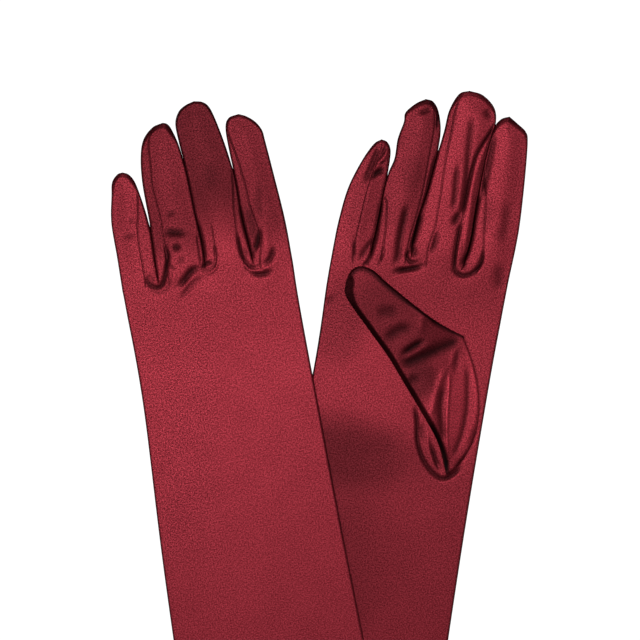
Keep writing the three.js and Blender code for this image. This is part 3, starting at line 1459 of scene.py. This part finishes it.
    def attach(self) -> None:
        """Hangs the hand's and sleeve's pieces on the glove's body and the thumb's as attach_thumb does,
        bakes the fingers' pieces in place, and hides the CAD nodes that the pieces replace.
        """
        side = self.side
        start, end = (self.place.point(0, v, self.hinge_height) for v in (0, self.bend))
        for label, obj in self.pieces.items():
            finger = next((f for f in self.shape.fingers if label.startswith(f.name + "_")), None)
            if finger:
                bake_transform(obj)
            elif label.startswith("thumb_u"):
                self.attach_thumb(obj)
            else:
                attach(obj, self.body)
        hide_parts(f"{side}_{self.upper}_panel", f"{side}_thumb_side_seam")
        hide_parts(f"{side}_{self.under}_panel", f"{side}_little_side_seam")
        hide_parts(f"{side}_cuff_hem")
        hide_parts(f"{side}_thumb_gusset")
        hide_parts(f"{side}_thumb_upper_ply", f"{side}_thumb_fold")
        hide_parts(f"{side}_thumb_under_ply", f"{side}_thumb_seam")
        for finger in self.shape.fingers:
            name = finger.name
            for ply in (self.upper, self.under):
                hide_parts(f"{side}_{name}_{ply}")
            ends = (("left", "little", finger.outer_left), ("right", "thumb", finger.outer_right))
            for where, toward, outer in ends:
                node = f"{side}_{name}_outer_seam" if outer else f"{side}_{name}_fourchette_{toward}_side"
                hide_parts(node)

    def attach_thumb(self, obj: bpy.types.Object) -> None:
        """Bakes a piece of the thumb in place, without hanging it on a body.

        Args:
            obj: the piece.
        """
        u, v, z = self.thumb_hinge
        start, end = self.place.point(u, v, z), self.place.point(u - self.thumb_bend, v, z)
        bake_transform(obj)

    def declare(self) -> None:
        """Works out each piece's width, length and area on the flat cloth, and keeps none of them."""
        for label, obj in self.pieces.items():
            area = Piece.area(obj)
            u_low, v_low, u_high, v_high = self.flat_box(obj)
            width, length = max((u_high - u_low) * MM, self.least_width), (v_high - v_low) * MM
            if label == "hem":
                width, length, area = 2 * width, 2 * self.hem_depth * MM, None
            elif "strip" in label:
                width = max(area / length, self.least_width)
            if area is not None:
                area = min(max(area, self.least_area * width * length), width * length)

    def rests_on(self, label: str) -> list[str]:
        """The pieces that one of this glove's pieces lies on: the folded thumb lies on the palm."""
        return [f"{self.side}_{self.upper}_cloth"] if label.startswith("thumb_u") else []

    def flat_box(self, obj: bpy.types.Object) -> tuple[float, float, float, float]:
        """The box of a piece on the flat cloth.

        Args:
            obj: the piece.

        Returns:
            The low u, the low v, the high u and the high v.
        """
        values = np.zeros(len(obj.data.vertices) * 3, np.float32)
        obj.data.attributes["cloth"].data.foreach_get("vector", values)
        flat = values.reshape(-1, 3)[:, :2]
        return *flat.min(0).tolist(), *flat.max(0).tolist()


def inside_of(outline: np.ndarray, u: np.ndarray, v: np.ndarray) -> np.ndarray:
    """Which places lie inside a closed outline.

    Args:
        outline: the outline's samples.
        u: the places' u.
        v: the places' v.

    Returns:
        True for each place inside.
    """
    found = np.zeros(u.shape, bool)
    for (au, av), (bu, bv) in zip(outline, np.roll(outline, -1, axis=0)):
        if av == bv:
            continue
        crosses = ((av > v) != (bv > v)) & (u < (bu - au) * (v - av) / (bv - av) + au)
        found ^= crosses
    return found


class RightGlove(Glove):
    """The right glove, palm up, with its thumb folded over the palm."""

    SHAPE = Shape(
        left=((-54.5, -460), (-50.5, -300), (-46.6, -150), (-44.8, -60), (-45.7, -18), (-45.7, 0)),
        right=((54.5, -460), (50.2, -300), (46.2, -150), (45.3, -60), (45.6, -20), (45.9, 0)),
        fingers=(
            Finger(
                "little",
                left=((-45.7, 0), (-45.3, 15), (-43.4, 32.6), (-38.9, 47.5), (-34.3, 57.2),
                      (-30.7, 60.4)),
                right=((-26.3, 0), (-25.2, 20), (-25.1, 34), (-24.5, 44), (-25.0, 55),
                       (-27.4, 59.4), (-30.7, 60.4)),
                seam_left=Seamline(((0, 2.2), (60, 2.2))),
                seam_right=Seamline(((0, 8), (12, 11), (26, 12), (44, 9), (60, 3))),
                outer_left=True,
                tip_roll=1.7,
                tip_fullness=2.0,
                tone=0.8,
                touch=43,
                fork=2.0,
            ),
            Finger(
                "ring",
                left=((-26.3, 0), (-25.1, 20), (-25.0, 34), (-24.3, 44), (-22.5, 52), (-22.6, 62),
                      (-21.0, 71), (-21.0, 76), (-16.5, 81.5), (-11.9, 84.6)),
                right=((-5.2, 0), (-6.1, 12), (-5.1, 26), (-2.8, 40.5), (-1.3, 58), (-1.6, 70),
                       (-4.4, 79.5), (-8.0, 84.0), (-11.9, 84.6)),
                seam_left=Seamline(((0, 6.0), (7, 5.7), (14, 5.0), (22, 3.9), (30, 2.6), (37, 0.6),
                                    (84, 0.6))),
                seam_right=Seamline(((0, 2.6), (10, 2.0), (26, 1.4), (47, 3.2), (62, 3.8),
                                     (77, 2.5), (84, 1))),
                tip_roll=2.5,
                tone=0.68,
                touch=61,
                fork=4.5,
            ),
            Finger(
                "middle",
                left=((-5.2, 0), (-6.0, 12), (-5.0, 26), (-2.7, 40.5), (-1.2, 58), (0.1, 70),
                      (0.9, 81), (4.4, 90), (9.4, 92.6)),
                right=((20.9, 0), (22.0, 7), (23.2, 18), (22.9, 35), (23.2, 55), (24.3, 70),
                       (25.5, 79.5), (23.2, 86.5), (16.5, 91.6), (9.4, 92.6)),
                seam_left=Seamline(((0, 8.0), (10, 8.8), (23, 9.8), (46, 6.3), (67, 4.3), (84, 3.2),
                                    (92, 1.5))),
                seam_right=Seamline(((0, 4.4), (7, 5.4), (16, 6.4), (29, 6.2), (44, 5.7), (53, 5.6),
                                     (60, 5.3), (66, 3.9), (73, 1.5), (79, 0.6), (92, 0.6))),
                tip_roll=2.4,
                touch=79,
                fork=3.0,
            ),
            Finger(
                "index",
                left=((20.9, 0), (22.1, 7), (23.3, 18), (23.0, 35), (23.3, 55), (24.4, 70),
                      (25.4, 77), (28.0, 81.2), (31.9, 83.1)),
                right=((45.9, 0), (46.6, 18), (46.5, 32), (45.1, 54), (43.3, 72), (41.4, 76.9),
                       (36.8, 80.1), (31.9, 83.1)),
                seam_left=Seamline(((0, 7.5), (7, 8.2), (14, 7.6), (21, 6.4), (36, 5.0), (49, 2.2),
                                    (60, 0.6), (83, 0.6))),
                seam_right=Seamline(((0, 2.0), (83, 2.0))),
                outer_right=True,
                tip_roll=2.6,
            ),
        ),
        thumb=Thumb(
            root=((31.8, -104.4), (38.5, -94), (42.5, -80), (41.6, -64), (36.6, -48), (28.0, -31.7)),
            creases=(
                # Across the thumb.
                fold(3.4, -0.75, (-18.7, -27.9), (-6.1, -25.2)),
                fold(2.7, -0.95, (-11.6, -41.7), (-4.6, -34.3), (2.5, -33.0)),
                fold(1.4, -1.5, (-2.2, -47.2), (4.7, -40.3), (9.8, -37.0)),
                fold(3.3, -1.3, (-2.0, -52.5), (6.7, -47.2), (13.9, -42.2), (20.5, -37.6),
                     (27.6, -32.8)),
                fold(2.2, -0.7, (3.5, -59.5), (10.0, -57.0)),
                fold(0.9, 0.5, (-0.5, -49.6), (6.4, -43.6), (12.6, -39.2)),
                fold(1.6, 0.55, (5.0, -24.5), (6.5, -34.0)),
                fold(1.0, -0.8, (7.0, -24.8), (17.0, -29.6), (26.6, -32.6)),
                # The root, drawn in to a point at its lower end.
                fold(1.2, 0.8, (28.4, -33.6), (25.1, -39.6), (23.8, -48.7)),
                fold(0.55, 0.95, (24.4, -51.0), (25.2, -60.4), (26.3, -70.6), (27.9, -81.4),
                     (29.9, -90.8), (31.0, -98.0)),
                fold(1.4, 0.8, (21.6, -49.0), (20.1, -56.0), (19.0, -65.0), (18.4, -76.0)),
                fold(1.9, -1.0, (22.8, -58.0), (22.5, -67.0), (25.0, -79.0), (28.0, -88.0)),
                fold(1.7, -0.7, (27.2, -37.0), (26.6, -44.0), (27.6, -52.0)),
                fold(1.4, -1.0, (32.5, -46.0), (34.3, -55.8), (35.9, -66.0), (36.2, -74.0),
                     (35.7, -81.6), (34.6, -87.7), (33.2, -95.0)),
                fold(1.2, 0.6, (29.8, -34.5), (34.6, -45.3), (39.0, -56.4), (40.8, -66.5),
                     (40.0, -78.5), (37.2, -90.0)),
                fold(1.1, -1.3, (41.0, -88.5), (38.3, -94.0), (34.5, -99.0)),
                fold(1.2, -0.6, (41.8, -76.0), (41.0, -86.0)),
                fold(1.9, -1.35, (17.5, -77.0), (24.6, -86.5), (29.9, -95.5), (31.2, -102.0)),
                fold(1.5, -1.5, (29.6, -95.0), (31.2, -103.5)),
            ),
            # Painted shade across the thumb, and a painted highlight along its root.
            painted_light_patches=(
                Tone((-10, -30), (45, 40), 0.5),
                Tone((10, -58), (12, 15), 0.42),
                Tone((33, -68), (13, 36), 1.5),
            ),
            half=1.15,
            lower_roll=2.9,
        ),
        oval=((31.8, -104.4), (38.5, -94), (42.5, -80), (41.6, -64), (36.6, -48), (28.0, -31.7),
              (18, -50), (12.2, -68), (11.4, -80), (15, -93), (22, -101.5)),
        creases=(
            # The little finger's rumpled tip.
            fold(1.4, -1.5, (-32.6, 39.2), (-29.8, 43.3), (-25.6, 45.4)),
            fold(1.5, -1.0, (-30.6, 58.0), (-32.0, 52.0), (-33.8, 44.0), (-36.0, 36.0)),
            fold(0.8, 0.9, (-26.4, 56.6), (-28.4, 50.4), (-31.0, 45.6)),
            fold(0.8, -1.0, (-27.4, 58.6), (-28.9, 53.2), (-30.6, 48.6)),
            fold(0.7, -0.8, (-30.8, 47.3), (-25.8, 49.6)),
            # The fork of the little and ring fingers.
            fold(0.8, -1.2, (-25.0, 30.0), (-25.0, 18.0), (-24.9, 10.2), (-26.1, 0.3), (-28.6, -4.4)),
            fold(0.9, -1.1, (-25.4, 11.0), (-28.0, 5.1), (-31.6, -3.8)),
            fold(0.5, 0.9, (-26.5, -0.3), (-30.7, -5.3)),
            fold(0.7, -1.0, (-25.8, -1.6), (-29.3, -5.3)),
            fold(0.8, -0.6, (-36.0, 9.0), (-34.3, -1.0), (-33.5, -6.5)),
            seam((-19.6, 6.0), (-20.0, 1.3), (-21.2, -4.2)),
            # The ring finger.
            fold(1.2, -0.9, (-14.4, 76.6), (-7.6, 80.2)),
            fold(0.9, -1.1, (-5.4, 80.8), (-4.2, 75.6), (-3.6, 69.0)),
            fold(1.7, -0.6, (-22.6, 68.0), (-23.2, 56.0), (-23.6, 45.0)),
            fold(1.7, -1.05, (-11.6, 30.0), (-12.2, 22.0), (-12.5, 11.0), (-12.0, 2.7), (-12.9, -2.6)),
            # The fork of the ring and middle fingers.
            fold(0.8, -1.0, (-0.9, 60.0), (-1.7, 54.7), (-2.5, 46.8), (-3.2, 36.9), (-4.2, 25.6)),
            fold(1.2, -1.5, (-4.0, 29.0), (-5.0, 18.9), (-5.7, 12.9), (-6.6, 6.4)),
            fold(0.75, -1.25, (-6.2, 9.4), (-7.7, 5.6), (-7.5, 2.9), (-5.8, 1.2), (-2.9, 1.0),
                 (-0.2, 3.2)),
            fold(1.0, -1.3, (-5.0, 10.0), (-4.5, 6.5), (-2.8, 3.6)),
            fold(0.5, 0.6, (-6.0, 7.6), (-6.4, 4.8), (-4.6, 2.6)),
            fold(1.35, -1.5, (-13.6, -6.4), (-9.1, -3.9), (-3.6, -2.0), (2.4, 0.9)),
            fold(0.5, 0.9, (-11.0, -2.3), (-7.6, -1.5), (-1.0, 0.9)),
            # The middle finger.
            fold(1.6, -0.95, (5.9, 19.5), (5.4, 11.6), (4.0, 6.2)),
            fold(1.6, -0.85, (13.5, 80.0), (14.1, 69.2), (14.7, 60.2), (15.6, 51.2), (16.2, 40.0),
                 (16.1, 28.0)),
            fold(1.3, -0.9, (10.3, 55.0), (10.8, 45.2), (11.5, 37.5), (11.6, 30.0)),
            fold(1.7, -1.2, (15.6, 31.0), (12.7, 23.0)),
            fold(2.0, -0.8, (19.5, 85.5), (22.6, 79.8)),
            fold(0.65, -1.1, (25.0, 78.0), (23.0, 72.7), (20.2, 66.3), (18.2, 60.1), (17.5, 52.9),
                 (17.1, 43.7), (16.6, 30.0)),
            fold(1.3, 0.9, (23.8, 71.5), (22.0, 64.5), (20.3, 54.6), (19.4, 42.8), (20.0, 28.0),
                 (20.4, 13.0)),
            # The fork of the middle and index fingers.
            fold(0.85, -1.3, (16.5, 26.0), (16.4, 16.0), (16.5, 9.0), (17.3, 2.0), (19.5, -0.6),
                 (22.9, -1.3), (26.2, 0.3), (29.0, 3.4), (30.5, 7.5), (30.6, 14.0)),
            fold(1.0, -1.3, (23.6, 44.0), (23.3, 28.0), (23.5, 20.0), (23.0, 12.0), (21.6, 6.8),
                 (20.4, 2.4)),
            fold(0.6, -0.9, (23.6, 6.0), (22.5, 3.6), (23.8, 1.2)),
            fold(0.9, 0.6, (27.0, 9.6), (27.4, 4.6)),
            fold(1.5, -0.9, (25.6, 74.0), (25.6, 62.0), (25.4, 50.0), (25.4, 38.0)),
            # The index finger and the side of the hand.
            fold(3.0, -0.5, (39.0, 41.0), (39.7, 28.1), (38.5, 17.5)),
            fold(3.4, -0.6, (40.0, 8.9), (43.0, -6.8)),
            # The palm and the heel of the hand.
            fold(7.0, -0.25, (-36.7, -96.4), (-14.2, -98.4), (5.6, -94.3)),
            fold(3.0, -0.4, (-44.0, -24.0), (-40.0, -27.0)),
            # The thumb's root, where the palm's own cloth is drawn in.
            fold(0.85, -1.25, (9.6, -71.0), (12.0, -79.0), (14.0, -88.5), (18.0, -96.8),
                 (23.6, -102.8), (29.5, -105.6), (34.6, -103.0), (39.4, -96.4)),
            seam((31.8, -104.8), (38.9, -94.2), (42.9, -80), (42.0, -63.8), (37.0, -47.8),
                 (28.0, -31.7)),
            fold(0.7, 0.9, (18.0, -83.0), (20.6, -92.0), (24.2, -98.6), (27.0, -102.0)),
            fold(1.0, -1.2, (20.6, -88.0), (24.6, -96.4), (28.6, -102.0)),
            fold(1.8, -0.8, (13.8, -79.0), (16.6, -90.0)),
        ),
        # Patches of painted shade on the palm, the sleeve and the fingers.
        painted_light_patches=(
            Tone((-20, -100), (60, 26), 0.6),
            Tone((-30, -160), (62, 90), 0.64),
            Tone((38, -150), (40, 80), 0.85),
            Tone((0, -8), (70, 24), 0.85),
            Tone((-36, -35), (20, 30), 0.7),
            Tone((-36, 20), (7, 26), 0.84),
            Tone((-12, 46), (8, 15), 0.78),
            Tone((2, 76), (4.5, 20), 0.75),
            Tone((32, 83), (9, 5), 0.5),
            Tone((-11, 84), (9, 4.5), 0.55),
            Tone((24.5, 58), (5, 22), 0.7),
            Tone((29.5, 32), (4, 15), 0.72),
        ),
    )

    def __init__(self, place: Place) -> None:
        """Keeps the glove's place."""
        super().__init__("right", place, self.SHAPE, "palm", "back", Thickness())

    def covers(self, x: np.ndarray, y: np.ndarray) -> np.ndarray:
        """How far a cloth over the sleeve has to rise, from 0 away from it to 1 over it."""
        u, v = self.place.flat(x, y)
        return smooth(-85, 2, u - self.edge_u(self.left_edge, v))


class LeftGlove(Glove):
    """The left glove, back up, with its thumb folded under the palm and its sleeve over the right one."""

    thumb_room = 3.0
    sleeve_room = 3.0

    SHAPE = Shape(
        left=((-54.5, -460), (-51.6, -300), (-47.8, -152), (-43.7, -60), (-44.1, -9), (-44.3, 0)),
        right=((54.5, -460), (50.4, -300), (46.0, -150), (44.4, -60), (43.9, -20), (44.2, 0)),
        fingers=(
            Finger(
                "little",
                left=((-44.3, 0), (-44.1, 17), (-44.1, 35.5), (-41.7, 49.2), (-40.3, 55.8),
                      (-37.0, 59.4), (-34.1, 60.0)),
                right=((-25.2, 0), (-25.3, 12), (-25.0, 28), (-25.9, 39), (-28.4, 53),
                       (-31.0, 58.2), (-34.1, 60.0)),
                seam_left=Seamline(((0, 2.2), (60, 2.2))),
                seam_right=Seamline(((0, 6.6), (9, 6.6), (27, 6.8), (38, 4.0), (50, 0.8), (60, 0.6))),
                outer_left=True,
                tip_roll=2.1,
                tone=0.92,
                touch=32,
                fork=2.0,
            ),
            Finger(
                "ring",
                left=((-25.2, 0), (-25.2, 12), (-24.8, 30), (-25.1, 52), (-23.7, 66), (-20.8, 74.7),
                      (-15.2, 80.1), (-9.6, 81.6)),
                right=((-0.6, 0), (-0.2, 18), (-1.1, 34), (-1.9, 54), (-3.2, 68), (-5.6, 77.4),
                       (-7.4, 80.6), (-9.6, 81.6)),
                seam_left=Seamline(((0, 5.0), (12, 6.1), (22, 6.1), (34, 5.8), (49, 4.8), (61, 4.8),
                                    (71, 3.2), (81, 1))),
                seam_right=Seamline(((0, 2.2), (20, 2.2), (30, 0.6), (81, 0.6)), (9, 20)),
                tip_roll=2.5,
                tone=0.6,
                touch=62,
                fork=6.5,
            ),
            Finger(
                "middle",
                left=((-0.6, 0), (-0.1, 18), (-1.0, 34), (-1.8, 54), (-3.1, 70), (-3.3, 80),
                      (-0.6, 85.8), (3.4, 88.5), (8.0, 89.8)),
                right=((24.4, 0), (23.2, 14), (22.2, 28), (22.3, 45), (21.0, 59), (18.4, 74),
                       (15.6, 84.8), (12.4, 88.6), (8.0, 89.8)),
                seam_left=Seamline(((0, 5.0), (11, 6.0), (24, 6.6), (40, 6.0), (90, 3.0)), (11, 24)),
                seam_right=Seamline(((0, 4.6), (17, 4.6), (26, 3.7), (35, 3.1), (48, 1.6),
                                     (58, 0.6), (90, 0.6))),
                tip_roll=1.5,
                tip_fullness=2.0,
                tone=0.42,
                tone_from=(8, 44),
                touch=54,
                fork=4.0,
            ),
            Finger(
                "index",
                left=((24.4, 0), (23.3, 14), (22.3, 28), (22.4, 45), (21.6, 60), (21.6, 73),
                      (24.0, 78.3), (29.4, 79.5)),
                right=((44.2, 0), (43.9, 22), (42.2, 45), (40.6, 64), (40.0, 69.2), (37.4, 74),
                       (33.2, 77.7), (29.4, 79.5)),
                seam_left=Seamline(((0, 3.0), (3, 3.6), (9, 5.4), (17, 6.7), (24, 6.3), (32, 5.2),
                                    (47, 4.2), (59, 3.0), (72, 1), (79, 0.6))),
                seam_right=Seamline(((0, 2.0), (79, 2.0))),
                outer_right=True,
                tip_roll=1.6,
                tip_fullness=1.8,
                tone=0.62,
            ),
        ),
        thumb=Thumb(
            root=((31.8, -104.4), (38.5, -94), (42.0, -80), (41.2, -64), (36.6, -48), (28.0, -31.7)),
            half=1.2,
            across=30,
            along=50,
        ),
        creases=(
            # The little finger and its fork with the ring finger.
            fold(1.9, -0.5, (-40.5, 28.0), (-32.0, 27.7)),
            fold(1.7, -0.45, (-35.8, 35.7), (-31.4, 34.9)),
            fold(0.95, -1.35, (-18.9, 20.0), (-18.4, 13.7), (-19.9, 8.2), (-21.6, 3.3),
                 (-24.2, -0.9), (-27.8, -1.0), (-30.5, 2.0), (-30.2, 4.6), (-28.2, 4.9)),
            fold(0.8, -0.8, (-28.5, 5.0), (-27.5, 0.8)),
            fold(1.0, -0.55, (-31.5, -1.6), (-26.5, -4.0), (-21.8, -2.6), (-19.0, 2.0)),
            fold(0.9, 0.6, (-18.4, -1.0), (-16.6, 4.4), (-16.8, 10.0)),
            # The back of the ring finger.
            fold(1.4, -0.6, (-16.4, 34.5), (-10.4, 36.2)),
            fold(1.9, -1.2, (-19.4, 27.2), (-12.9, 25.1), (-6.0, 24.0)),
            fold(1.6, -1.2, (-15.6, 16.4), (-10.8, 18.6)),
            fold(1.1, -0.6, (-13.4, 7.4), (-10.6, 12.8)),
            fold(0.6, -0.9, (-19.0, 9.2), (-15.0, 5.7)),
            # The fork of the ring and middle fingers, and the folds that run from it.
            fold(1.7, -1.35, (-1.6, 4.6), (-7.0, 4.4), (-11.2, 0.8), (-16.4, -4.0)),
            fold(1.0, 0.7, (-8.0, 1.4), (-12.0, -2.2), (-15.0, -5.4)),
            fold(1.6, -0.6, (-1.0, 0.4), (-6.6, -1.6), (-11.7, -5.6), (-16.5, -10.4)),
            fold(0.7, -1.0, (-0.6, 30.0), (0.4, 18.0), (0.3, 11.2), (-1.2, 5.8)),
            fold(0.85, -1.35, (-2.6, 3.7), (0.5, 6.9), (3.8, 5.2)),
            seam((6.1, 15.4), (6.0, 9.6), (4.4, 5.4), (1.5, 3.2), (-2.4, 2.9)),
            fold(0.6, 0.7, (7.0, 9.5), (5.4, 4.2), (1.5, 1.9), (-2.4, 1.7)),
            # The middle and index fingers and their fork.
            fold(4.5, -0.4, (11.0, 58.8), (9.3, 42.5)),
            fold(0.75, -1.1, (18.5, 20.0), (18.8, 10.0), (20.2, 4.2), (22.3, 1.3), (25.1, 0.4),
                 (27.6, 1.6)),
            fold(0.6, 1.0, (18.5, 6.6), (20.4, 1.4), (23.4, -1.2), (28.0, -1.6), (33.0, 0.6)),
            fold(1.6, -0.6, (20.6, 12.0), (21.6, 5.0)),
            fold(0.8, -0.9, (22.4, 34.0), (22.6, 24.0), (23.4, 15.7), (24.3, 8.4), (24.6, 2.6)),
            fold(1.25, -1.45, (29.9, 20.0), (28.2, 13.2), (24.4, 7.9)),
            fold(2.4, -0.7, (25.2, 34.0), (26.4, 22.0), (26.6, 12.0)),
            fold(2.0, -0.5, (32.3, 25.0), (31.8, 34.4), (35.6, 44.2)),
            fold(2.0, 0.7, (33.0, 22.0), (32.0, 14.0), (30.8, 6.0)),
            fold(1.3, -1.15, (36.6, 10.0), (33.1, 3.6), (28.6, 0.6)),
            fold(1.2, -1.25, (21.0, -0.8), (26.4, -3.4), (34.2, -2.8)),
            # A pulled thread on the sleeve.
            fold(0.9, -0.35, (-34.9, -92.6), (-34.7, -89.4)),
        ),
    )

    def __init__(self, place: Place, below: RightGlove) -> None:
        """Keeps the glove's place and the glove that it lies on.

        Args:
            place: where it lies.
            below: the right glove.
        """
        super().__init__("left", place, self.SHAPE, "back", "palm", Thickness())
        self.below = below

    def base(self, u: np.ndarray, v: np.ndarray) -> np.ndarray:
        """The height of the under side, which rises over the thumb and over the right sleeve.

        Args:
            u: the places' u.
            v: the places' v.

        Returns:
            The height at each.
        """
        x, y = self.place.frame(u, v)
        over_thumb = smooth(-430, -100, v) * smooth(60, 4, v) * self.thumb_room
        over_sleeve = self.below.covers(x, y) * self.sleeve_room * smooth(-10, -70, v)
        return self.table_gap + (over_thumb**4 + over_sleeve**4) ** 0.25

    def thumb_bed(self, u: np.ndarray, v: np.ndarray) -> np.ndarray:
        """The table, which the folded-under thumb lies on."""
        return np.full(np.shape(u), self.table_gap)

    def attach_thumb(self, obj: bpy.types.Object) -> None:
        """The whole thumb turns with its own body under the palm."""
        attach(obj, f"{self.side}_thumb")

    def rests_on(self, label: str) -> list[str]:
        """The pieces that one of this glove's pieces lies on: the sleeve lies over the right glove's."""
        return ["right_palm_cloth"] if label in ("back", "palm", "hem") else []


@dataclass(frozen=True)
class Studio:
    """The table, the light and the camera.

    Attributes:
        lens: the camera's focal length.
        sensor: the width of its sensor.
        span: the width of the view.
        aim: where the camera looks, from the middle between the gloves' knuckle lines.
        fill_reach: how far from the gloves the low soft lights stand, in metres.
        fill_height: how high they stand, in metres.
        fill_power: the power of each, in watts.
        key_place: where the soft light over the gloves hangs, in metres.
        key_aim: what it points at, in metres.
        key_size: its side, in metres.
        key_power: its power, in watts.
        room: how bright the room is.
        table_reach: how far the table goes, in metres.
        table_grey: the colour that the table throws onto the gloves.
        table_glow: how bright the table looks.
    """

    lens: float = 200.0
    sensor: float = 36.0
    span: float = 328.2
    aim: Point = (3.0, -25.0)
    fill_reach: float = 1.9
    fill_height: float = 0.55
    fill_power: float = 2.6
    key_place: tuple[float, float, float] = (-0.12, 0.30, 1.5)
    key_aim: tuple[float, float, float] = (0, 0.15, 0)
    key_size: float = 0.55
    key_power: float = 4.4
    room: float = 0.04
    table_reach: float = 4.0
    table_grey: float = 0.3
    table_glow: float = 1.1

    def camera(self, left: Place, right: Place) -> bpy.types.Object:
        """Places the camera straight over the gloves' hands.

        Args:
            left: the left glove's place.
            right: the right glove's place.

        Returns:
            The camera.
        """
        data = bpy.data.cameras.new("overhead")
        data.lens, data.sensor_width = self.lens, self.sensor
        data.clip_start, data.clip_end = 0.05, 20
        made = bpy.data.objects.new("overhead", data)
        x = (left.origin[0] + right.origin[0]) / 2 + self.aim[0]
        y = (left.origin[1] + right.origin[1]) / 2 + self.aim[1]
        made.location = (x * MM, y * MM, self.span * MM * self.lens / self.sensor)
        made.rotation_euler = (0, 0, 0)
        bpy.context.scene.collection.objects.link(made)
        bpy.context.scene.camera = made
        return made

    def softbox(self, name: str, place: tuple[float, float, float], aim: tuple[float, float, float],
                size: float, power: float) -> None:
        """Hangs a square soft light.

        Args:
            name: its name.
            place: where it hangs, in metres.
            aim: what it points at, in metres.
            size: its side, in metres.
            power: its power, in watts.
        """
        data = bpy.data.lights.new(name, "AREA")
        data.size, data.energy = size, power
        made = bpy.data.objects.new(name, data)
        made.location = place
        made.rotation_euler = (Vector(aim) - Vector(place)).to_track_quat("-Z", "Y").to_euler()
        made.visible_camera = False
        bpy.context.scene.collection.objects.link(made)

    def table(self) -> None:
        """Lays the pale table that the gloves lie on."""
        mesh = bpy.data.meshes.new("table")
        reach = self.table_reach
        corners = [(-reach, -reach, 0), (reach, -reach, 0), (reach, reach, 0), (-reach, reach, 0)]
        mesh.from_pydata(corners, [], [(0, 1, 2, 3)])
        made = bpy.data.objects.new("table", mesh)
        made.location = (0, 0, -0.0001)
        bpy.context.scene.collection.objects.link(made)
        material = bpy.data.materials.new("table_white")
        material.use_nodes = True
        nodes, links = material.node_tree.nodes, material.node_tree.links
        shader = nodes["Principled BSDF"]
        shader.inputs["Base Color"].default_value = (*[self.table_grey] * 3, 1)
        shader.inputs["Roughness"].default_value = 0.9
        glow = nodes.new("ShaderNodeEmission")
        glow.inputs["Strength"].default_value = self.table_glow
        seen = nodes.new("ShaderNodeLightPath")
        mix = nodes.new("ShaderNodeMixShader")
        links.new(seen.outputs["Is Camera Ray"], mix.inputs[0])
        links.new(shader.outputs["BSDF"], mix.inputs[1])
        links.new(glow.outputs["Emission"], mix.inputs[2])
        links.new(mix.outputs["Shader"], nodes["Material Output"].inputs["Surface"])
        made.data.materials.append(material)

    def light(self) -> None:
        """Lights the table from above and dims the room."""
        world = bpy.data.worlds.new("room")
        bpy.context.scene.world = world
        world.use_nodes = True
        background = world.node_tree.nodes["Background"]
        background.inputs["Color"].default_value = (1, 1, 1, 1)
        background.inputs["Strength"].default_value = self.room
        self.softbox("key", self.key_place, self.key_aim, self.key_size, self.key_power)
        for name, x, y in (("front", 0, -1), ("back", 0, 1), ("left", -1, 0), ("right", 1, 0)):
            place = (self.fill_reach * x, self.fill_reach * y, self.fill_height)
            self.softbox(name, place, (0, 0, 0), 1.0, self.fill_power)
        scene = bpy.context.scene
        scene.view_settings.view_transform = "Standard"
        scene.view_settings.look = "None"


def main() -> None:
    """Builds the gloves, the table, the light and the camera."""
    logging.basicConfig(level=logging.INFO, format="%(message)s")
    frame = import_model()
    joints = {joint["name"]: joint for joint in frame["joints"]}
    hinge_u = 10.2
    right_place = Place.from_hinge(joints["right_middle_fold"], hinge_u)
    left_place = Place.from_hinge(joints["left_middle_fold"], hinge_u)
    studio = Studio()
    studio.camera(left_place, right_place)
    right = RightGlove(right_place)
    left = LeftGlove(left_place, right)
    for glove in (right, left):
        glove.build()
        LOG.info("%s glove: %d pieces", glove.side, len(glove.pieces))
    studio.table()
    studio.light()


if __name__ == "__main__":
    main()
